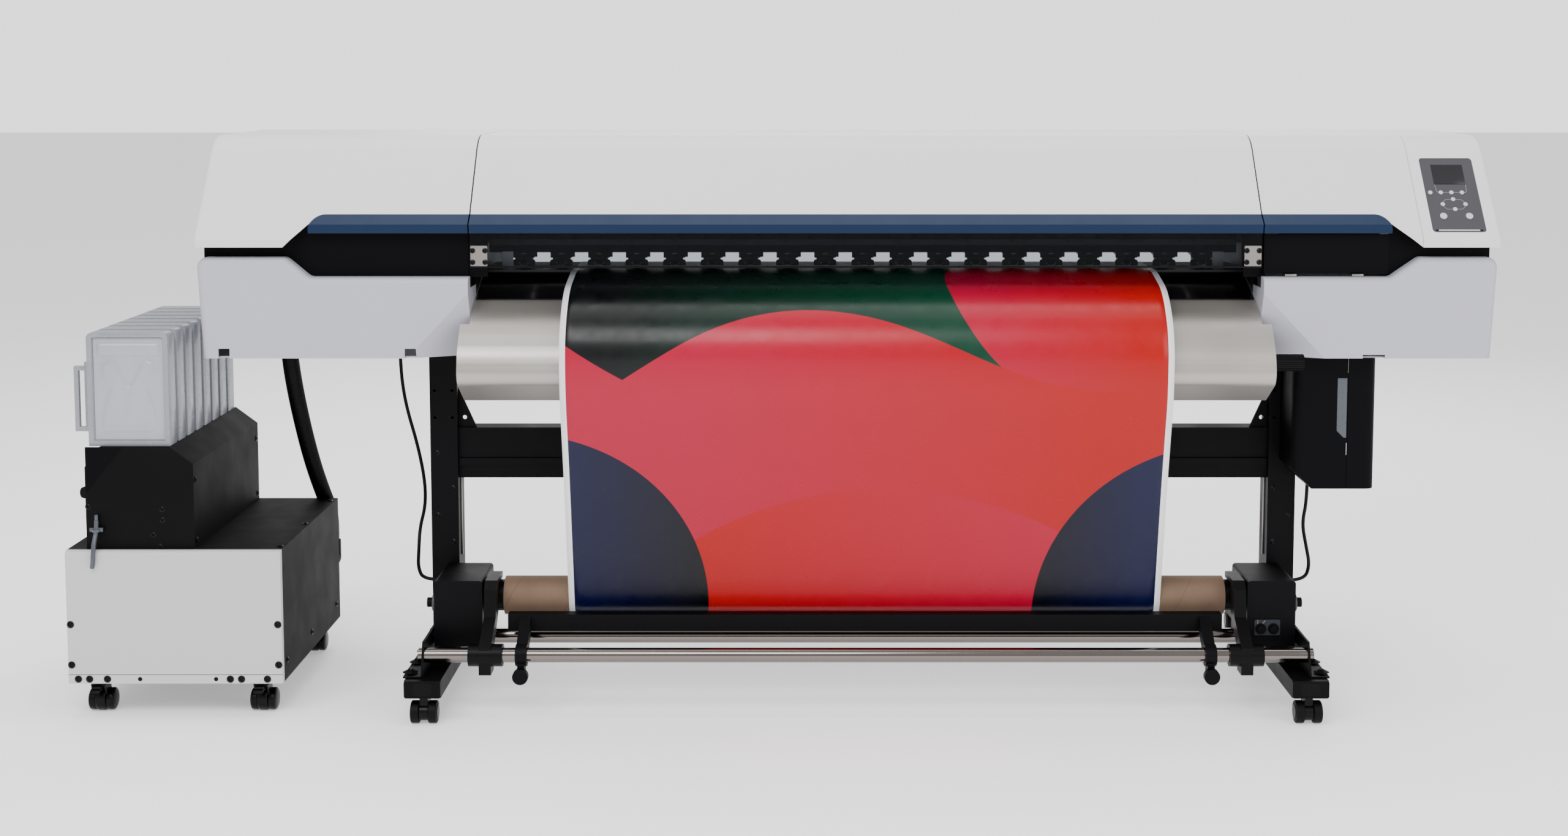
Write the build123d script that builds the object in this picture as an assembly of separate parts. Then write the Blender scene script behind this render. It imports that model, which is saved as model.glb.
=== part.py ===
from build123d import *
import math
import os

# A wide-format roll printer on its stand, with a take-up in front and an ink cart beside it.
# While it is modelled, X = 0 is the middle of the paper path, Y = 0 the middle of the cabinet's
# depth with the front towards -Y, and Z = 0 the floor.  Export moves everything so that the
# origin is under the middle of the whole object.  All sizes are in millimetres.

# ---- cabinet ----
STAND_HEIGHT = 803.0
OPENING_HALF = 888.0
LEFT_END = 609.0
RIGHT_END = 525.0
CABINET_DEPTH = 700.0
LEFT_HIGH = 200.0
LEFT_RAMP = 53.0
RIGHT_HIGH = 175.0
RIGHT_RAMP = 65.0
SHOULDER_RISE = 182.0
HIGH_RISE = 227.0
LIP_RISE = 251.0
LIP_HEIGHT = 18.0
LIP_OUT = 16.0
TRIM_RISE = 281.0
TRIM_LOWER = 20.0
TRIM_UPPER = 21.0
TOP_RISE = 494.0
SLOPE_RUN = 155.0
SLOPE_RISE = 200.0
CROWN_RADIUS = 90.0
REAR_CHAMFER_RUN = 88.0
REAR_CHAMFER_DROP = 107.0
SIDE_TAPER = 12.0
COVER_WALL = 3.0
COVER_GAP = 1.0
MOVING_GAP = 3.0
EDGE_ROUND = 14.0
CORNER_ROUND = 24.0
END_ROUND = 9.0
SCOOP_SPAN = 138.0
SCOOP_HEIGHT = 147.0
SCOOP_DEPTH = 60.0
CONTROL_WIDTH = 176.0
RIM_FRONT = 32.0
RIM_SIDE = 12.0

# ---- paper path ----
PLATEN_RISE = 180.0
PLATEN_FRONT = -160.0
PLATEN_REAR = -20.0
PLATEN_DEEP = 43.0
PLATEN_WALL = 4.0
FEED_Y = -60.0
FEED_RADIUS = 12.0
FEED_SINK = 0.1
MEDIA_WIDTH = 1354.0
MEDIA_THICK = 1.0
MEDIA_GAP = 0.3
GUIDE_RADIUS = 150.0
NOSE_REACH = 30.0
PINCH_COUNT = 19
PINCH_PITCH = 89.0
PINCH_RADIUS = 8.0
PINCH_WIDTH = 46.0
PINCH_LIFT = 6.0
APRON_OVER = 19.0
APRON_THICK = 2.0
RUN_FIT = 0.05

# ---- beam and carriage ----
BEAM_FRONT = 30.0
BEAM_DEEP = 100.0
BEAM_RISE = 272.0
BEAM_HIGH = 125.0
BEAM_WALL = 5.0
RAIL_DEEP = 14.0
RAIL_HIGH = 25.0
RAIL_RISE = 322.0
CARRIAGE_WIDTH = 230.0
CARRIAGE_PARK = 1060.0
CARRIAGE_FRONT = -240.0
CARRIAGE_DEEP = 134.0
CARRIAGE_HIGH = 202.0
HEAD_GAP = 5.0
FRAME_THICK = 6.0
HINGE_Y = 98.0
HINGE_DROP = 7.0
HINGE_PIN = 4.0
HINGE_RING = 6.5
REAR_RING_PLACES = (28 - OPENING_HALF, -500, 0, 500, OPENING_HALF - 28)
FRONT_RING_PLACES = (-700, -300, 300, 700)

# ---- stand ----
LEG_OFFSET = 94.0
LEG_WIDE = 64.0
LEG_DEEP = 77.0
LEG_FRONT = -164.0
LEG_WALL = 3.0
LEG_BOLT_X = 41.0
LEG_BOLT_Z = 64.0
LEG_BOLT_Z0 = 668.0
LEG_BOLT_RADIUS = 3.5
BEAM_BAR_BOTTOM = 491.0
BEAM_BAR_HIGH = 119.0
BEAM_BAR_FRONT = -150.0
BEAM_BAR_DEEP = 55.0
GUSSET_WIDE = 42.0
GUSSET_HIGH = 94.0
FOOT_WIDE = 81.0
FOOT_BOTTOM = 63.0
FOOT_HIGH = 39.0
FOOT_FRONT = -470.0
FOOT_REAR = 335.0
FOOT_CAP = 5.0
CASTER_WHEEL = 25.0
CASTER_TREAD = 19.0
CASTER_HOOD = 18.0
CASTER_TRAIL = 14.0
CASTER_INSET = 36.0
CASTER_STEM = 5.0
CASTER_AXLE = 4.0
SWIVEL_GAP = 0.5

# ---- take-up ----
TUBE_RADIUS = 44.0
TUBE_WALL = 6.0
TUBE_Y = -252.0
TUBE_Z = 237.0
CHUCK_LONG = 42.0
CHUCK_RADIUS = 36.0
CHUCK_PLUG = 30.0
CHUCK_SHAFT = 12.0
DRIVE_GAP = 0.5
DRIVE_WIDE = 110.0
DRIVE_FRONT = -330.0
DRIVE_BOTTOM = 138.0
DRIVE_HIGH = 152.0
TAKEUP_INSET = 18.0
FRONT_PIPE_Y = -410.0
FRONT_PIPE_Z = 142.0
FRONT_PIPE = 16.5
REAR_PIPE_Y = -275.0
REAR_PIPE_Z = 148.0
REAR_PIPE = 17.0
PIPE_WALL = 2.0
PIPE_OVER = 112.0
CLAMP_INSET = 38.0
CLAMP_HUB = 76.0
CLAMP_HUB_RADIUS = 25.0
CLAMP_ARM = 27.0
BAR_BOTTOM = 178.0
BAR_HIGH = 38.0
BAR_Y = -330.0
BAR_DEEP = 30.0
BAR_WALL = 2.5
BAR_INSET = 78.0
BAR_ARM_INSET = 118.0
BAR_ARM = 25.0
KNOB_RADIUS = 17.5
KNOB_Z = 101.0
SUPPLY_Y = 260.0
SUPPLY_Z_DROP = 58.0
SUPPLY_RADIUS = 80.0
SUPPLY_SHAFT = 15.0
HOLDER_WIDE = 12.0

# ---- waste tank ----
TANK_LEFT = OPENING_HALF + LEG_OFFSET - 7
TANK_WIDE = 189.0
TANK_FRONT = -290.0
TANK_HIGH = 309.0
TANK_SEAM = 123.0
TANK_WALL = 3.0
TANK_ROUND = 22.0

# ---- control panel: (x, y) of each button on the plate, x to the right and y up the slope ----
PANEL_WIDE = 120.0
PANEL_LONG = 202.0
PANEL_RISE = 364.0
PANEL_THICK = 4.0
PANEL_SINK = 1.5
PANEL_ROUND = 8.0
KEY_RADIUS = 5.0
BIG_KEY_RADIUS = 8.0
KEY_PROUD = 1.6
KEY_TRAVEL = 1.0
KEY_GAP = 0.3
KEY_PITCH = 23.8
KEY_ROW_Y = 6.5
KEY_ROW_X = -24.5
CURSOR_HALF = 25.5
CURSOR_Y = -25.3
CURSOR_RISE = 13.5
BIG_KEY_HALF = 29.0
BIG_KEY_Y = -57.0
DISPLAY_WIDE = 71.0
DISPLAY_LONG = 54.0
DISPLAY_Y = 55.7
DISPLAY_SINK = 0.8

# ---- ink cart ----
CART_LEFT = -1784.0
CART_WIDE = 479.0
CART_FRONT = -415.0
CART_DEEP = 548.0
CART_BOTTOM = 78.0
CART_HIGH = 302.0
CART_WALL = 2.5
CART_PANEL = 16.0
HOUSING_INSET = 43.0
HOUSING_WIDE = 242.0
HOUSING_FRONT = 20.0
HOUSING_DEEP = 520.0
HOUSING_HIGH = 231.0
CASE_COUNT = 8
CASE_PITCH = 64.0
CASE_THICK = 48.0
CASE_WIDE = 181.0
CASE_HIGH = 255.0
CASE_INSET = 51.0
CASE_START = 30.0
HANDLE_OUT = 36.0
HANDLE_HIGH = 147.0
HANDLE_RISE = 30.0
HANDLE_BAR = 10.0
HANDLE_THICK = 12.0
CART_CASTER_X = 183.0
CART_CASTER_FRONT = 43.0
CART_CASTER_REAR = 502.0
CART_WHEEL = 27.5
CART_TREAD = 22.0
CART_TRAIL = 15.0

# ---- hose and cables ----
HOSE_DIAMETER = 39.0
HOSE_X = -1340.0
CABLE_DIAMETER = 8.0
GLAND_LONG = 14.0

# ---- levels and places that follow from them ----
BODY_FRONT = -CABINET_DEPTH / 2
BODY_REAR = CABINET_DEPTH / 2
BODY_LEFT = -OPENING_HALF - LEFT_END
BODY_RIGHT = OPENING_HALF + RIGHT_END
SHOULDER_Z = STAND_HEIGHT + SHOULDER_RISE
HIGH_Z = STAND_HEIGHT + HIGH_RISE
LIP_Z = STAND_HEIGHT + LIP_RISE
LIP_TOP_Z = LIP_Z + LIP_HEIGHT
LIP_Y = BODY_FRONT - LIP_OUT
TRIM_Z = STAND_HEIGHT + TRIM_RISE
TRIM_MID_Z = TRIM_Z + TRIM_LOWER
TRIM_TOP_Z = TRIM_MID_Z + TRIM_UPPER
TOP_Z = STAND_HEIGHT + TOP_RISE
PLATEN_Z = STAND_HEIGHT + PLATEN_RISE
MEDIA_HALF = MEDIA_WIDTH / 2
LEG_X = OPENING_HALF + LEG_OFFSET
FOOT_TOP = FOOT_BOTTOM + FOOT_HIGH
DRIVE_X = OPENING_HALF - TAKEUP_INSET
CART_RIGHT = CART_LEFT + CART_WIDE
CART_REAR = CART_FRONT + CART_DEEP
CART_TOP = CART_BOTTOM + CART_HIGH
HOUSING_TOP = CART_TOP + HOUSING_HIGH
HINGE_Z = TOP_Z - HINGE_DROP
SUPPLY_Z = STAND_HEIGHT - SUPPLY_Z_DROP
WEB_Z = PLATEN_Z + MEDIA_GAP
ORIGIN_X = (min(CART_LEFT, BODY_LEFT) + BODY_RIGHT) / 2
ORIGIN_Y = (FOOT_FRONT - FOOT_CAP + BODY_REAR) / 2


# ---- drawing helpers ----
def block(x0, x1, y0, y1, z0, z1):
    """A block between two corners."""
    return Pos((x0 + x1) / 2, (y0 + y1) / 2, (z0 + z1) / 2) * Box(x1 - x0, y1 - y0, z1 - z0)


def rod_x(x0, x1, y, z, radius):
    """A round bar along X."""
    return Pos((x0 + x1) / 2, y, z) * Rot(0, 90, 0) * Cylinder(radius, x1 - x0)


def rod_y(y0, y1, x, z, radius):
    """A round bar along Y."""
    return Pos(x, (y0 + y1) / 2, z) * Rot(90, 0, 0) * Cylinder(radius, y1 - y0)


def rod_z(z0, z1, x, y, radius):
    """A round bar along Z."""
    return Pos(x, y, (z0 + z1) / 2) * Cylinder(radius, z1 - z0)


def along_x(section, x0, x1):
    """Extrude a (y, z) section from x0 to x1."""
    return extrude(Pos(x0, 0, 0) * (Plane.YZ * section), amount=x1 - x0, dir=(1, 0, 0))


def along_y(section, y0, y1):
    """Extrude an (x, z) section from y0 to y1."""
    return extrude(Pos(0, y0, 0) * (Plane.XZ * section), amount=y1 - y0, dir=(0, 1, 0))


def mirrored(shape):
    """The same piece on the other side of the paper path."""
    return mirror(shape, about=Plane.YZ)


def both_sides(shape):
    """A piece and its mirror image."""
    return [shape, mirrored(shape)]


def outline(points, radii=None):
    """A closed face through the points, with a radius for each corner."""
    if radii is None:
        return make_face(Polyline(*points, close=True))
    return make_face(FilletPolyline(*points, radius=radii, close=True))


def turn_at(before, here, after):
    """The turn of a path at a point, in radians, positive to the left."""
    first = math.atan2(here[1] - before[1], here[0] - before[0])
    second = math.atan2(after[1] - here[1], after[0] - here[0])
    return (second - first + math.pi) % (2 * math.pi) - math.pi


def offset_corner(before, here, after, distance):
    """Where two runs of a path meet when both move to their left by a distance."""
    heading = math.atan2(here[1] - before[1], here[0] - before[0])
    half = turn_at(before, here, after) / 2
    reach = distance / math.cos(half)
    direction = heading + half + math.pi / 2
    return (here[0] + reach * math.cos(direction), here[1] + reach * math.sin(direction))


def inset_points(points, distance):
    """A closed outline, drawn anticlockwise, taken in by a distance."""
    count = len(points)
    triples = [(points[i - 1], points[i], points[(i + 1) % count]) for i in range(count)]
    return [offset_corner(before, here, after, distance) for before, here, after in triples]


def offset_path(points, distance):
    """An open path moved to its left by a distance."""
    ends = []
    for here, towards in ((points[0], points[1]), (points[-1], points[-2])):
        ahead = (2 * here[0] - towards[0], 2 * here[1] - towards[1])
        first, last = (ahead, towards) if here is points[0] else (towards, ahead)
        ends.append(offset_corner(first, here, last, distance))
    middle = [offset_corner(*points[i - 1:i + 2], distance) for i in range(1, len(points) - 1)]
    return [ends[0], *middle, ends[1]]


def easy_radii(points):
    """The largest even radius at each corner of an open path."""
    radii = []
    for i in range(1, len(points) - 1):
        shorter = min(math.dist(points[i - 1], points[i]), math.dist(points[i], points[i + 1]))
        radii.append(0.45 * shorter / math.tan(abs(turn_at(*points[i - 1:i + 2])) / 2))
    return radii


def sheet_section(points, radii, thickness):
    """The section of a bent sheet, with its thickness to the left of the path."""
    turns = [turn_at(*points[i - 1:i + 2]) for i in range(1, len(points) - 1)]
    far_radii = [r - math.copysign(thickness, turn) for r, turn in zip(radii, turns)]
    if thickness < 0:
        far_radii = [r + math.copysign(-thickness, turn) for r, turn in zip(radii, turns)]
    near = FilletPolyline(*points, radius=radii)
    far = FilletPolyline(*offset_path(points, thickness), radius=far_radii)
    ends = [Line(near @ 0, far @ 0), Line(near @ 1, far @ 1)]
    return make_face(near.edges() + far.edges() + ends)


def tube_section(width, height, wall):
    """The section of a square tube."""
    return Rectangle(width, height) - Rectangle(width - 2 * wall, height - 2 * wall)


def slope_y(z):
    """Where the front slope of the upper covers is at a height."""
    return LIP_Y + (z - LIP_TOP_Z) * SLOPE_RUN / SLOPE_RISE


# ---- covers ----
def lower_solid(end, high, ramp, inset):
    """The outside of a lower cover on the +X side, taken in by an inset on every face."""
    inner = OPENING_HALF + COVER_GAP
    outer = OPENING_HALF + end
    points = [
        (inner, STAND_HEIGHT),
        (outer - SIDE_TAPER, STAND_HEIGHT),
        (outer, HIGH_Z),
        (outer - high, HIGH_Z),
        (outer - high - ramp, SHOULDER_Z),
        (inner, SHOULDER_Z),
    ]
    rounds = [0, 0, CORNER_ROUND - inset, CORNER_ROUND - inset, CORNER_ROUND + inset, 0]
    front = BODY_FRONT + inset
    solid = along_y(outline(inset_points(points, inset), rounds), front, BODY_REAR - inset)
    return solid - scoop_tool(inner, inset)


def scoop_tool(inner, inset):
    """What the scoop beside the paper opening takes away."""
    crease_top = Vector(inner, BODY_FRONT, STAND_HEIGHT + SCOOP_HEIGHT)
    crease_bottom = Vector(inner + SCOOP_SPAN, BODY_FRONT, STAND_HEIGHT)
    deep_point = Vector(inner, BODY_FRONT + SCOOP_DEPTH, STAND_HEIGHT)
    outward = (crease_bottom - crease_top).cross(deep_point - crease_top).normalized()
    if outward.Y > 0:
        outward = outward * -1
    place = Plane(origin=crease_top - outward * inset, x_dir=crease_bottom - crease_top, z_dir=outward)
    align = (Align.CENTER, Align.CENTER, Align.MIN)
    return place * Box(4 * SCOOP_HEIGHT, 4 * SCOOP_HEIGHT, 2 * SCOOP_HEIGHT, align=align)


def round_lower(solid, end, high, ramp, inset):
    """Round the crease and the front edges that show."""
    front = BODY_FRONT + inset
    on_front = [e for e in solid.edges() if abs(e.center().Y - front) < 0.01]
    top_edges = [e for e in on_front if e.center().Z > STAND_HEIGHT + SCOOP_HEIGHT + inset]
    outer_edges = [e for e in on_front if e.center().X > OPENING_HALF + end - high / 4]
    shown = [e for e in top_edges + outer_edges if e.length > 1]
    unique = list({tuple(e.center()): e for e in shown}.values())
    keep = [e for e in unique if abs(e.center().X - OPENING_HALF - COVER_GAP - inset) > 0.5]
    return fillet(keep, EDGE_ROUND - inset)


def lower_cover(end, high, ramp):
    """A lower cover on the +X side: a tray, open inside behind its front rim."""
    outer = round_lower(lower_solid(end, high, ramp, 0), end, high, ramp, 0)
    inner = round_lower(lower_solid(end, high, ramp, COVER_WALL), end, high, ramp, COVER_WALL)
    shell = outer - inner
    x_in = OPENING_HALF - COVER_GAP
    x_out = OPENING_HALF + end
    open_top = block(x_in, x_out - RIM_SIDE, BODY_FRONT + RIM_FRONT, BODY_REAR - RIM_FRONT,
                     PLATEN_Z - 25, TOP_Z)
    open_side = block(x_in, OPENING_HALF + 10, CARRIAGE_FRONT, BODY_REAR + 1,
                      STAND_HEIGHT + COVER_WALL, TOP_Z)
    return shell - open_top - open_side


def foot_notch(x, wide, high):
    """A small square notch in the bottom front edge of a lower cover."""
    return block(x - wide / 2, x + wide / 2, BODY_FRONT - 1, BODY_FRONT + 12,
                 STAND_HEIGHT - 1, STAND_HEIGHT + high)


def left_lower_cover():
    """The left lower cover, with two notches and holes for the hose and the left cable."""
    cover = mirrored(lower_cover(LEFT_END, LEFT_HIGH, LEFT_RAMP))
    for inboard in (60, 477):
        cover -= foot_notch(BODY_LEFT + inboard, 25, 22)
    cover += gland(HOSE_POINTS[0], HOSE_DIAMETER / 2 + 6)
    cover += gland(LEFT_CABLE_POINTS[0], CABLE_DIAMETER / 2 + 4)
    return cover


def gland(mouth, radius):
    """A short boss inside the cabinet floor, whose face the cord meets."""
    return rod_z(mouth[2], mouth[2] + GLAND_LONG, mouth[0], mouth[1], radius)


def right_lower_cover():
    """The right lower cover, with a shallow notch for its catch."""
    cover = lower_cover(RIGHT_END, RIGHT_HIGH, RIGHT_RAMP)
    return cover - foot_notch(OPENING_HALF + 250, 50, 8)


def upper_profile(inset):
    """The closed side outline of the upper covers, anticlockwise seen from +X."""
    crown_y = slope_y(TOP_Z)
    points = [
        (LIP_Y, LIP_Z),
        (BODY_REAR, LIP_Z),
        (BODY_REAR, TOP_Z - REAR_CHAMFER_DROP),
        (BODY_REAR - REAR_CHAMFER_RUN, TOP_Z),
        (crown_y, TOP_Z),
        (LIP_Y, LIP_TOP_Z),
    ]
    rounds = [0, 0, 30 - inset, 60 - inset, CROWN_RADIUS - inset, 6 - inset]
    inner = inset_points(points, inset)
    if inset > 0:
        inner[0] = (inner[0][0], LIP_Z - 1)
        inner[1] = (inner[1][0], LIP_Z - 1)
    return outline(inner, rounds)


def upper_shell(x0, x1, end_wall):
    """A stretch of upper cover on the +X side, closed at x1 when it has an end wall."""
    outer = along_x(upper_profile(0), x0, x1)
    inner_end = x1
    if end_wall:
        end_edges = outer.faces().sort_by(Axis.X)[-1].edges()
        outer = fillet([e for e in end_edges if e.center().Z > LIP_Z + 1], END_ROUND)
        inner_end = x1 - COVER_WALL
    inner = along_x(upper_profile(COVER_WALL), x0 - 1, inner_end)
    if end_wall:
        end_edges = inner.faces().sort_by(Axis.X)[-1].edges()
        inner = fillet([e for e in end_edges if e.center().Z > LIP_Z + 1], END_ROUND - COVER_WALL)
    return outer - inner


def trim_outline(end, high, ramp):
    """The front view of a side trim, with its round outer corner."""
    outer = OPENING_HALF + end - high - ramp
    inner = OPENING_HALF
    points = [(inner, TRIM_Z), (outer, TRIM_Z), (outer, TRIM_TOP_Z), (inner, TRIM_TOP_Z)]
    return outline(points, [0, 0, TRIM_LOWER + TRIM_UPPER - 6, 0])


def lip_cut(end, high, ramp):
    """What is cut away under the ramp of the lip and behind the side trim."""
    corner = OPENING_HALF + end - high
    points = [
        (OPENING_HALF - 20, LIP_Z - 1),
        (corner, LIP_Z - 1),
        (corner, LIP_Z),
        (corner - ramp, TRIM_MID_Z),
        (OPENING_HALF - 20, TRIM_MID_Z),
    ]
    front, back = LIP_Y - 10, BODY_FRONT + 50
    return along_y(outline(points), front, back) + along_y(trim_outline(end, high, ramp), front, back)


def left_upper_cover():
    """The left upper cover, closed at its outer end."""
    cover = upper_shell(OPENING_HALF, OPENING_HALF + LEFT_END, True)
    return mirrored(cover - lip_cut(LEFT_END, LEFT_HIGH, LEFT_RAMP))


def right_upper_cover():
    """The right upper cover, between the opening and the control cover."""
    cover = upper_shell(OPENING_HALF, BODY_RIGHT - CONTROL_WIDTH, False)
    return cover - lip_cut(RIGHT_END, RIGHT_HIGH, RIGHT_RAMP)


def panel_place(lift):
    """The plane of the control panel, lifted off the slope by a distance."""
    z = STAND_HEIGHT + PANEL_RISE
    x = BODY_RIGHT - CONTROL_WIDTH / 2 - 3
    length = math.hypot(SLOPE_RUN, SLOPE_RISE)
    normal = Vector(0, -SLOPE_RISE / length, SLOPE_RUN / length)
    return Plane(origin=Vector(x, slope_y(z), z) + normal * lift, x_dir=(1, 0, 0), z_dir=normal)


def control_cover():
    """The cover at the right end, with the hole for the control panel."""
    cover = upper_shell(BODY_RIGHT - CONTROL_WIDTH + COVER_GAP, BODY_RIGHT, True)
    hole = extrude(panel_place(-20) * RectangleRounded(PANEL_WIDE, PANEL_LONG, PANEL_ROUND), 40)
    return cover - hole


def trim_section():
    """The side section of the blue trim: a lower face and an upper bevel."""
    back = BODY_FRONT + RIM_FRONT
    return outline([
        (slope_y(TRIM_TOP_Z), TRIM_TOP_Z),
        (LIP_Y + 14, TRIM_MID_Z),
        (LIP_Y + 18, TRIM_Z),
        (back, TRIM_Z),
        (back, TRIM_TOP_Z),
    ])


def side_trims():
    """The trims of the two side covers."""
    trims = []
    for end, high, ramp in ((LEFT_END, LEFT_HIGH, LEFT_RAMP), (RIGHT_END, RIGHT_HIGH, RIGHT_RAMP)):
        bar = along_x(trim_section(), OPENING_HALF, OPENING_HALF + end - high - ramp)
        face = along_y(trim_outline(end, high, ramp), LIP_Y, BODY_FRONT + 50)
        trims.append(bar & face)
    return [mirrored(trims[0]), trims[1]]


def front_cover():
    """The lifting centre cover, with hinge rings along its rear edge."""
    half = OPENING_HALF - MOVING_GAP
    edge = HINGE_Y - HINGE_PIN - 0.3
    foot_z = TRIM_TOP_Z - 2 * COVER_WALL
    path = [(slope_y(foot_z), foot_z), (slope_y(TOP_Z), TOP_Z), (edge, TOP_Z)]
    cover = along_x(sheet_section(path, [CROWN_RADIUS], -COVER_WALL), -half, half)
    cover -= block(-half, half, LIP_Y, 0, LIP_Z, TRIM_TOP_Z)
    for x in REAR_RING_PLACES:
        cover -= rod_x(x - 16, x + 16, HINGE_Y, HINGE_Z, HINGE_RING + 0.5)
    for x in FRONT_RING_PLACES:
        ring = rod_x(x - 20, x + 20, HINGE_Y, HINGE_Z, HINGE_RING)
        lug = block(x - 20, x + 20, edge - 9, HINGE_Y, HINGE_Z - 3, TOP_Z - COVER_WALL / 2)
        bore = rod_x(x - 21, x + 21, HINGE_Y, HINGE_Z, HINGE_PIN + RUN_FIT)
        slot = block(x - 21, x + 21, HINGE_Y, HINGE_Y + HINGE_RING, HINGE_Z - HINGE_RING, TOP_Z)
        cover += ring + (lug - slot) - bore
        cover -= bore
    return cover


def front_trim():
    """The trim along the bottom of the centre cover."""
    half = OPENING_HALF - MOVING_GAP
    return along_x(trim_section(), -half, half)


def front_window():
    """The clear strip that hangs under the centre trim."""
    half = OPENING_HALF - MOVING_GAP
    return block(-half, half, BODY_FRONT + 7, BODY_FRONT + 11, PLATEN_Z + 24, TRIM_Z)


def rear_cover():
    """The fixed rear part of the centre, with the hinge pin of the front cover."""
    half = OPENING_HALF - COVER_GAP
    corner_reach = math.hypot(HINGE_PIN + 0.3, HINGE_DROP)
    start = HINGE_Y + corner_reach + 0.8
    path = [
        (start, TOP_Z),
        (BODY_REAR - REAR_CHAMFER_RUN, TOP_Z),
        (BODY_REAR, TOP_Z - REAR_CHAMFER_DROP),
        (BODY_REAR, PLATEN_Z + 27),
    ]
    cover = along_x(sheet_section(path, [60, 30], -COVER_WALL), -half, half)
    pin = rod_x(-half, half, HINGE_Y, HINGE_Z, HINGE_PIN)
    cover += pin
    for x in REAR_RING_PLACES:
        ring = rod_x(x - 15, x + 15, HINGE_Y, HINGE_Z, HINGE_RING)
        lug = block(x - 15, x + 15, HINGE_Y, start + 6, HINGE_Z - 3, TOP_Z - COVER_WALL / 2)
        cover += ring + lug
    return cover


def maintenance_door():
    """The black door at the right, with its two hinge barrels."""
    left = OPENING_HALF + 5
    right = OPENING_HALF + RIGHT_END - RIGHT_HIGH - RIGHT_RAMP - 1
    door = block(left, right, DOOR_Y, DOOR_Y + 4, DOOR_HINGE_Z + 1, TRIM_Z - 4)
    for x in (OPENING_HALF + 64, OPENING_HALF + 214):
        door += rod_x(x - 12.5, x + 12.5, DOOR_HINGE_Y, DOOR_HINGE_Z, 3.5)
        door += block(x - 12.5, x + 12.5, DOOR_HINGE_Y, DOOR_Y + 4, DOOR_HINGE_Z, DOOR_HINGE_Z + 3)
    return door


DOOR_Y = BODY_FRONT + 24
DOOR_HINGE_Y = BODY_FRONT + 21
DOOR_HINGE_Z = SHOULDER_Z + 5


def recess_panels():
    """The fixed black panels behind the gap between the upper and lower covers."""
    back = BODY_FRONT + RIM_FRONT
    bottom, top = PLATEN_Z - 20, TRIM_Z + 20
    left_panel = block(BODY_LEFT + RIM_SIDE, -OPENING_HALF - 4, back, back + 3, bottom, top)
    right_from = OPENING_HALF + RIGHT_END - RIGHT_HIGH - RIGHT_RAMP + 1
    right_panel = block(right_from, BODY_RIGHT - RIM_SIDE, back, back + 3, bottom, top)
    return [left_panel, right_panel]


def side_frame():
    """One side plate on the +X side, cut open where the carriage passes."""
    floor = STAND_HEIGHT + COVER_WALL
    beam_back = BEAM_FRONT + BEAM_DEEP
    beam_z = STAND_HEIGHT + BEAM_RISE
    roof = TOP_Z - 30
    points = [
        (CARRIAGE_FRONT + 5, floor),
        (BODY_REAR - RIM_FRONT - 2, floor),
        (BODY_REAR - RIM_FRONT - 2, TOP_Z - REAR_CHAMFER_DROP - 10),
        (BODY_REAR - REAR_CHAMFER_RUN - 10, roof),
        (beam_back + 5, roof),
        (beam_back + 5, beam_z),
        (FEED_Y - 30, beam_z),
        (FEED_Y - 30, PLATEN_Z - 3),
        (CARRIAGE_FRONT + 5, PLATEN_Z - 3),
    ]
    x0 = OPENING_HALF + 6
    plate = along_x(outline(points), x0, x0 + FRAME_THICK)
    feed_z = PLATEN_Z - FEED_RADIUS - FEED_SINK
    plate -= rod_x(x0 - 1, x0 + FRAME_THICK + 1, FEED_Y, feed_z, FEED_RADIUS + RUN_FIT)
    return plate


def roll_holder():
    """A hanger under the cabinet for one end of the supply roll, on the +X side."""
    x0 = OPENING_HALF + 5
    half = SUPPLY_SHAFT + 25
    plate = block(x0, x0 + HOLDER_WIDE, SUPPLY_Y - half, SUPPLY_Y + half, SUPPLY_Z - half, STAND_HEIGHT)
    return plate - rod_x(x0 - 1, x0 + HOLDER_WIDE + 1, SUPPLY_Y, SUPPLY_Z, SUPPLY_SHAFT + RUN_FIT)


def side_frames():
    """The side plates, roll hangers and black recess panels."""
    return both_sides(side_frame()) + both_sides(roll_holder()) + recess_panels()


# ---- paper path ----
def web_path():
    """The inner face of the paper, from the supply roll over the platen down to the take-up."""
    rise_y = SUPPLY_Y - SUPPLY_RADIUS - 2 * MEDIA_GAP - MEDIA_THICK
    apron = STAND_HEIGHT
    hang = (-372, (apron + TUBE_Z) / 2 + 30)
    reach = TUBE_RADIUS + MEDIA_GAP
    to_tube = math.atan2(TUBE_Z - hang[1], TUBE_Y - hang[0])
    distance = math.hypot(TUBE_Y - hang[0], TUBE_Z - hang[1])
    heading = to_tube - math.asin(reach / distance)
    floor = TUBE_Z - reach
    corner = (hang[0] + (floor - hang[1]) / math.tan(heading), floor)
    points = [
        (rise_y, SUPPLY_Z),
        (rise_y, WEB_Z),
        (PLATEN_FRONT - NOSE_REACH, WEB_Z),
        (-345, WEB_Z - 31),
        (-432, WEB_Z - 122),
        (-430, apron - 68),
        hang,
        corner,
        (TUBE_Y + 8, floor),
    ]
    radii = easy_radii(points)
    radii[0] = GUIDE_RADIUS
    radii[1] = NOSE_REACH / math.tan(abs(turn_at(*points[1:4])) / 2)
    radii[-1] = reach
    return points, radii


def media_web():
    """The printed paper, as one bent sheet."""
    points, radii = web_path()
    return along_x(sheet_section(points, radii, -MEDIA_THICK), -MEDIA_HALF, MEDIA_HALF)


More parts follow.
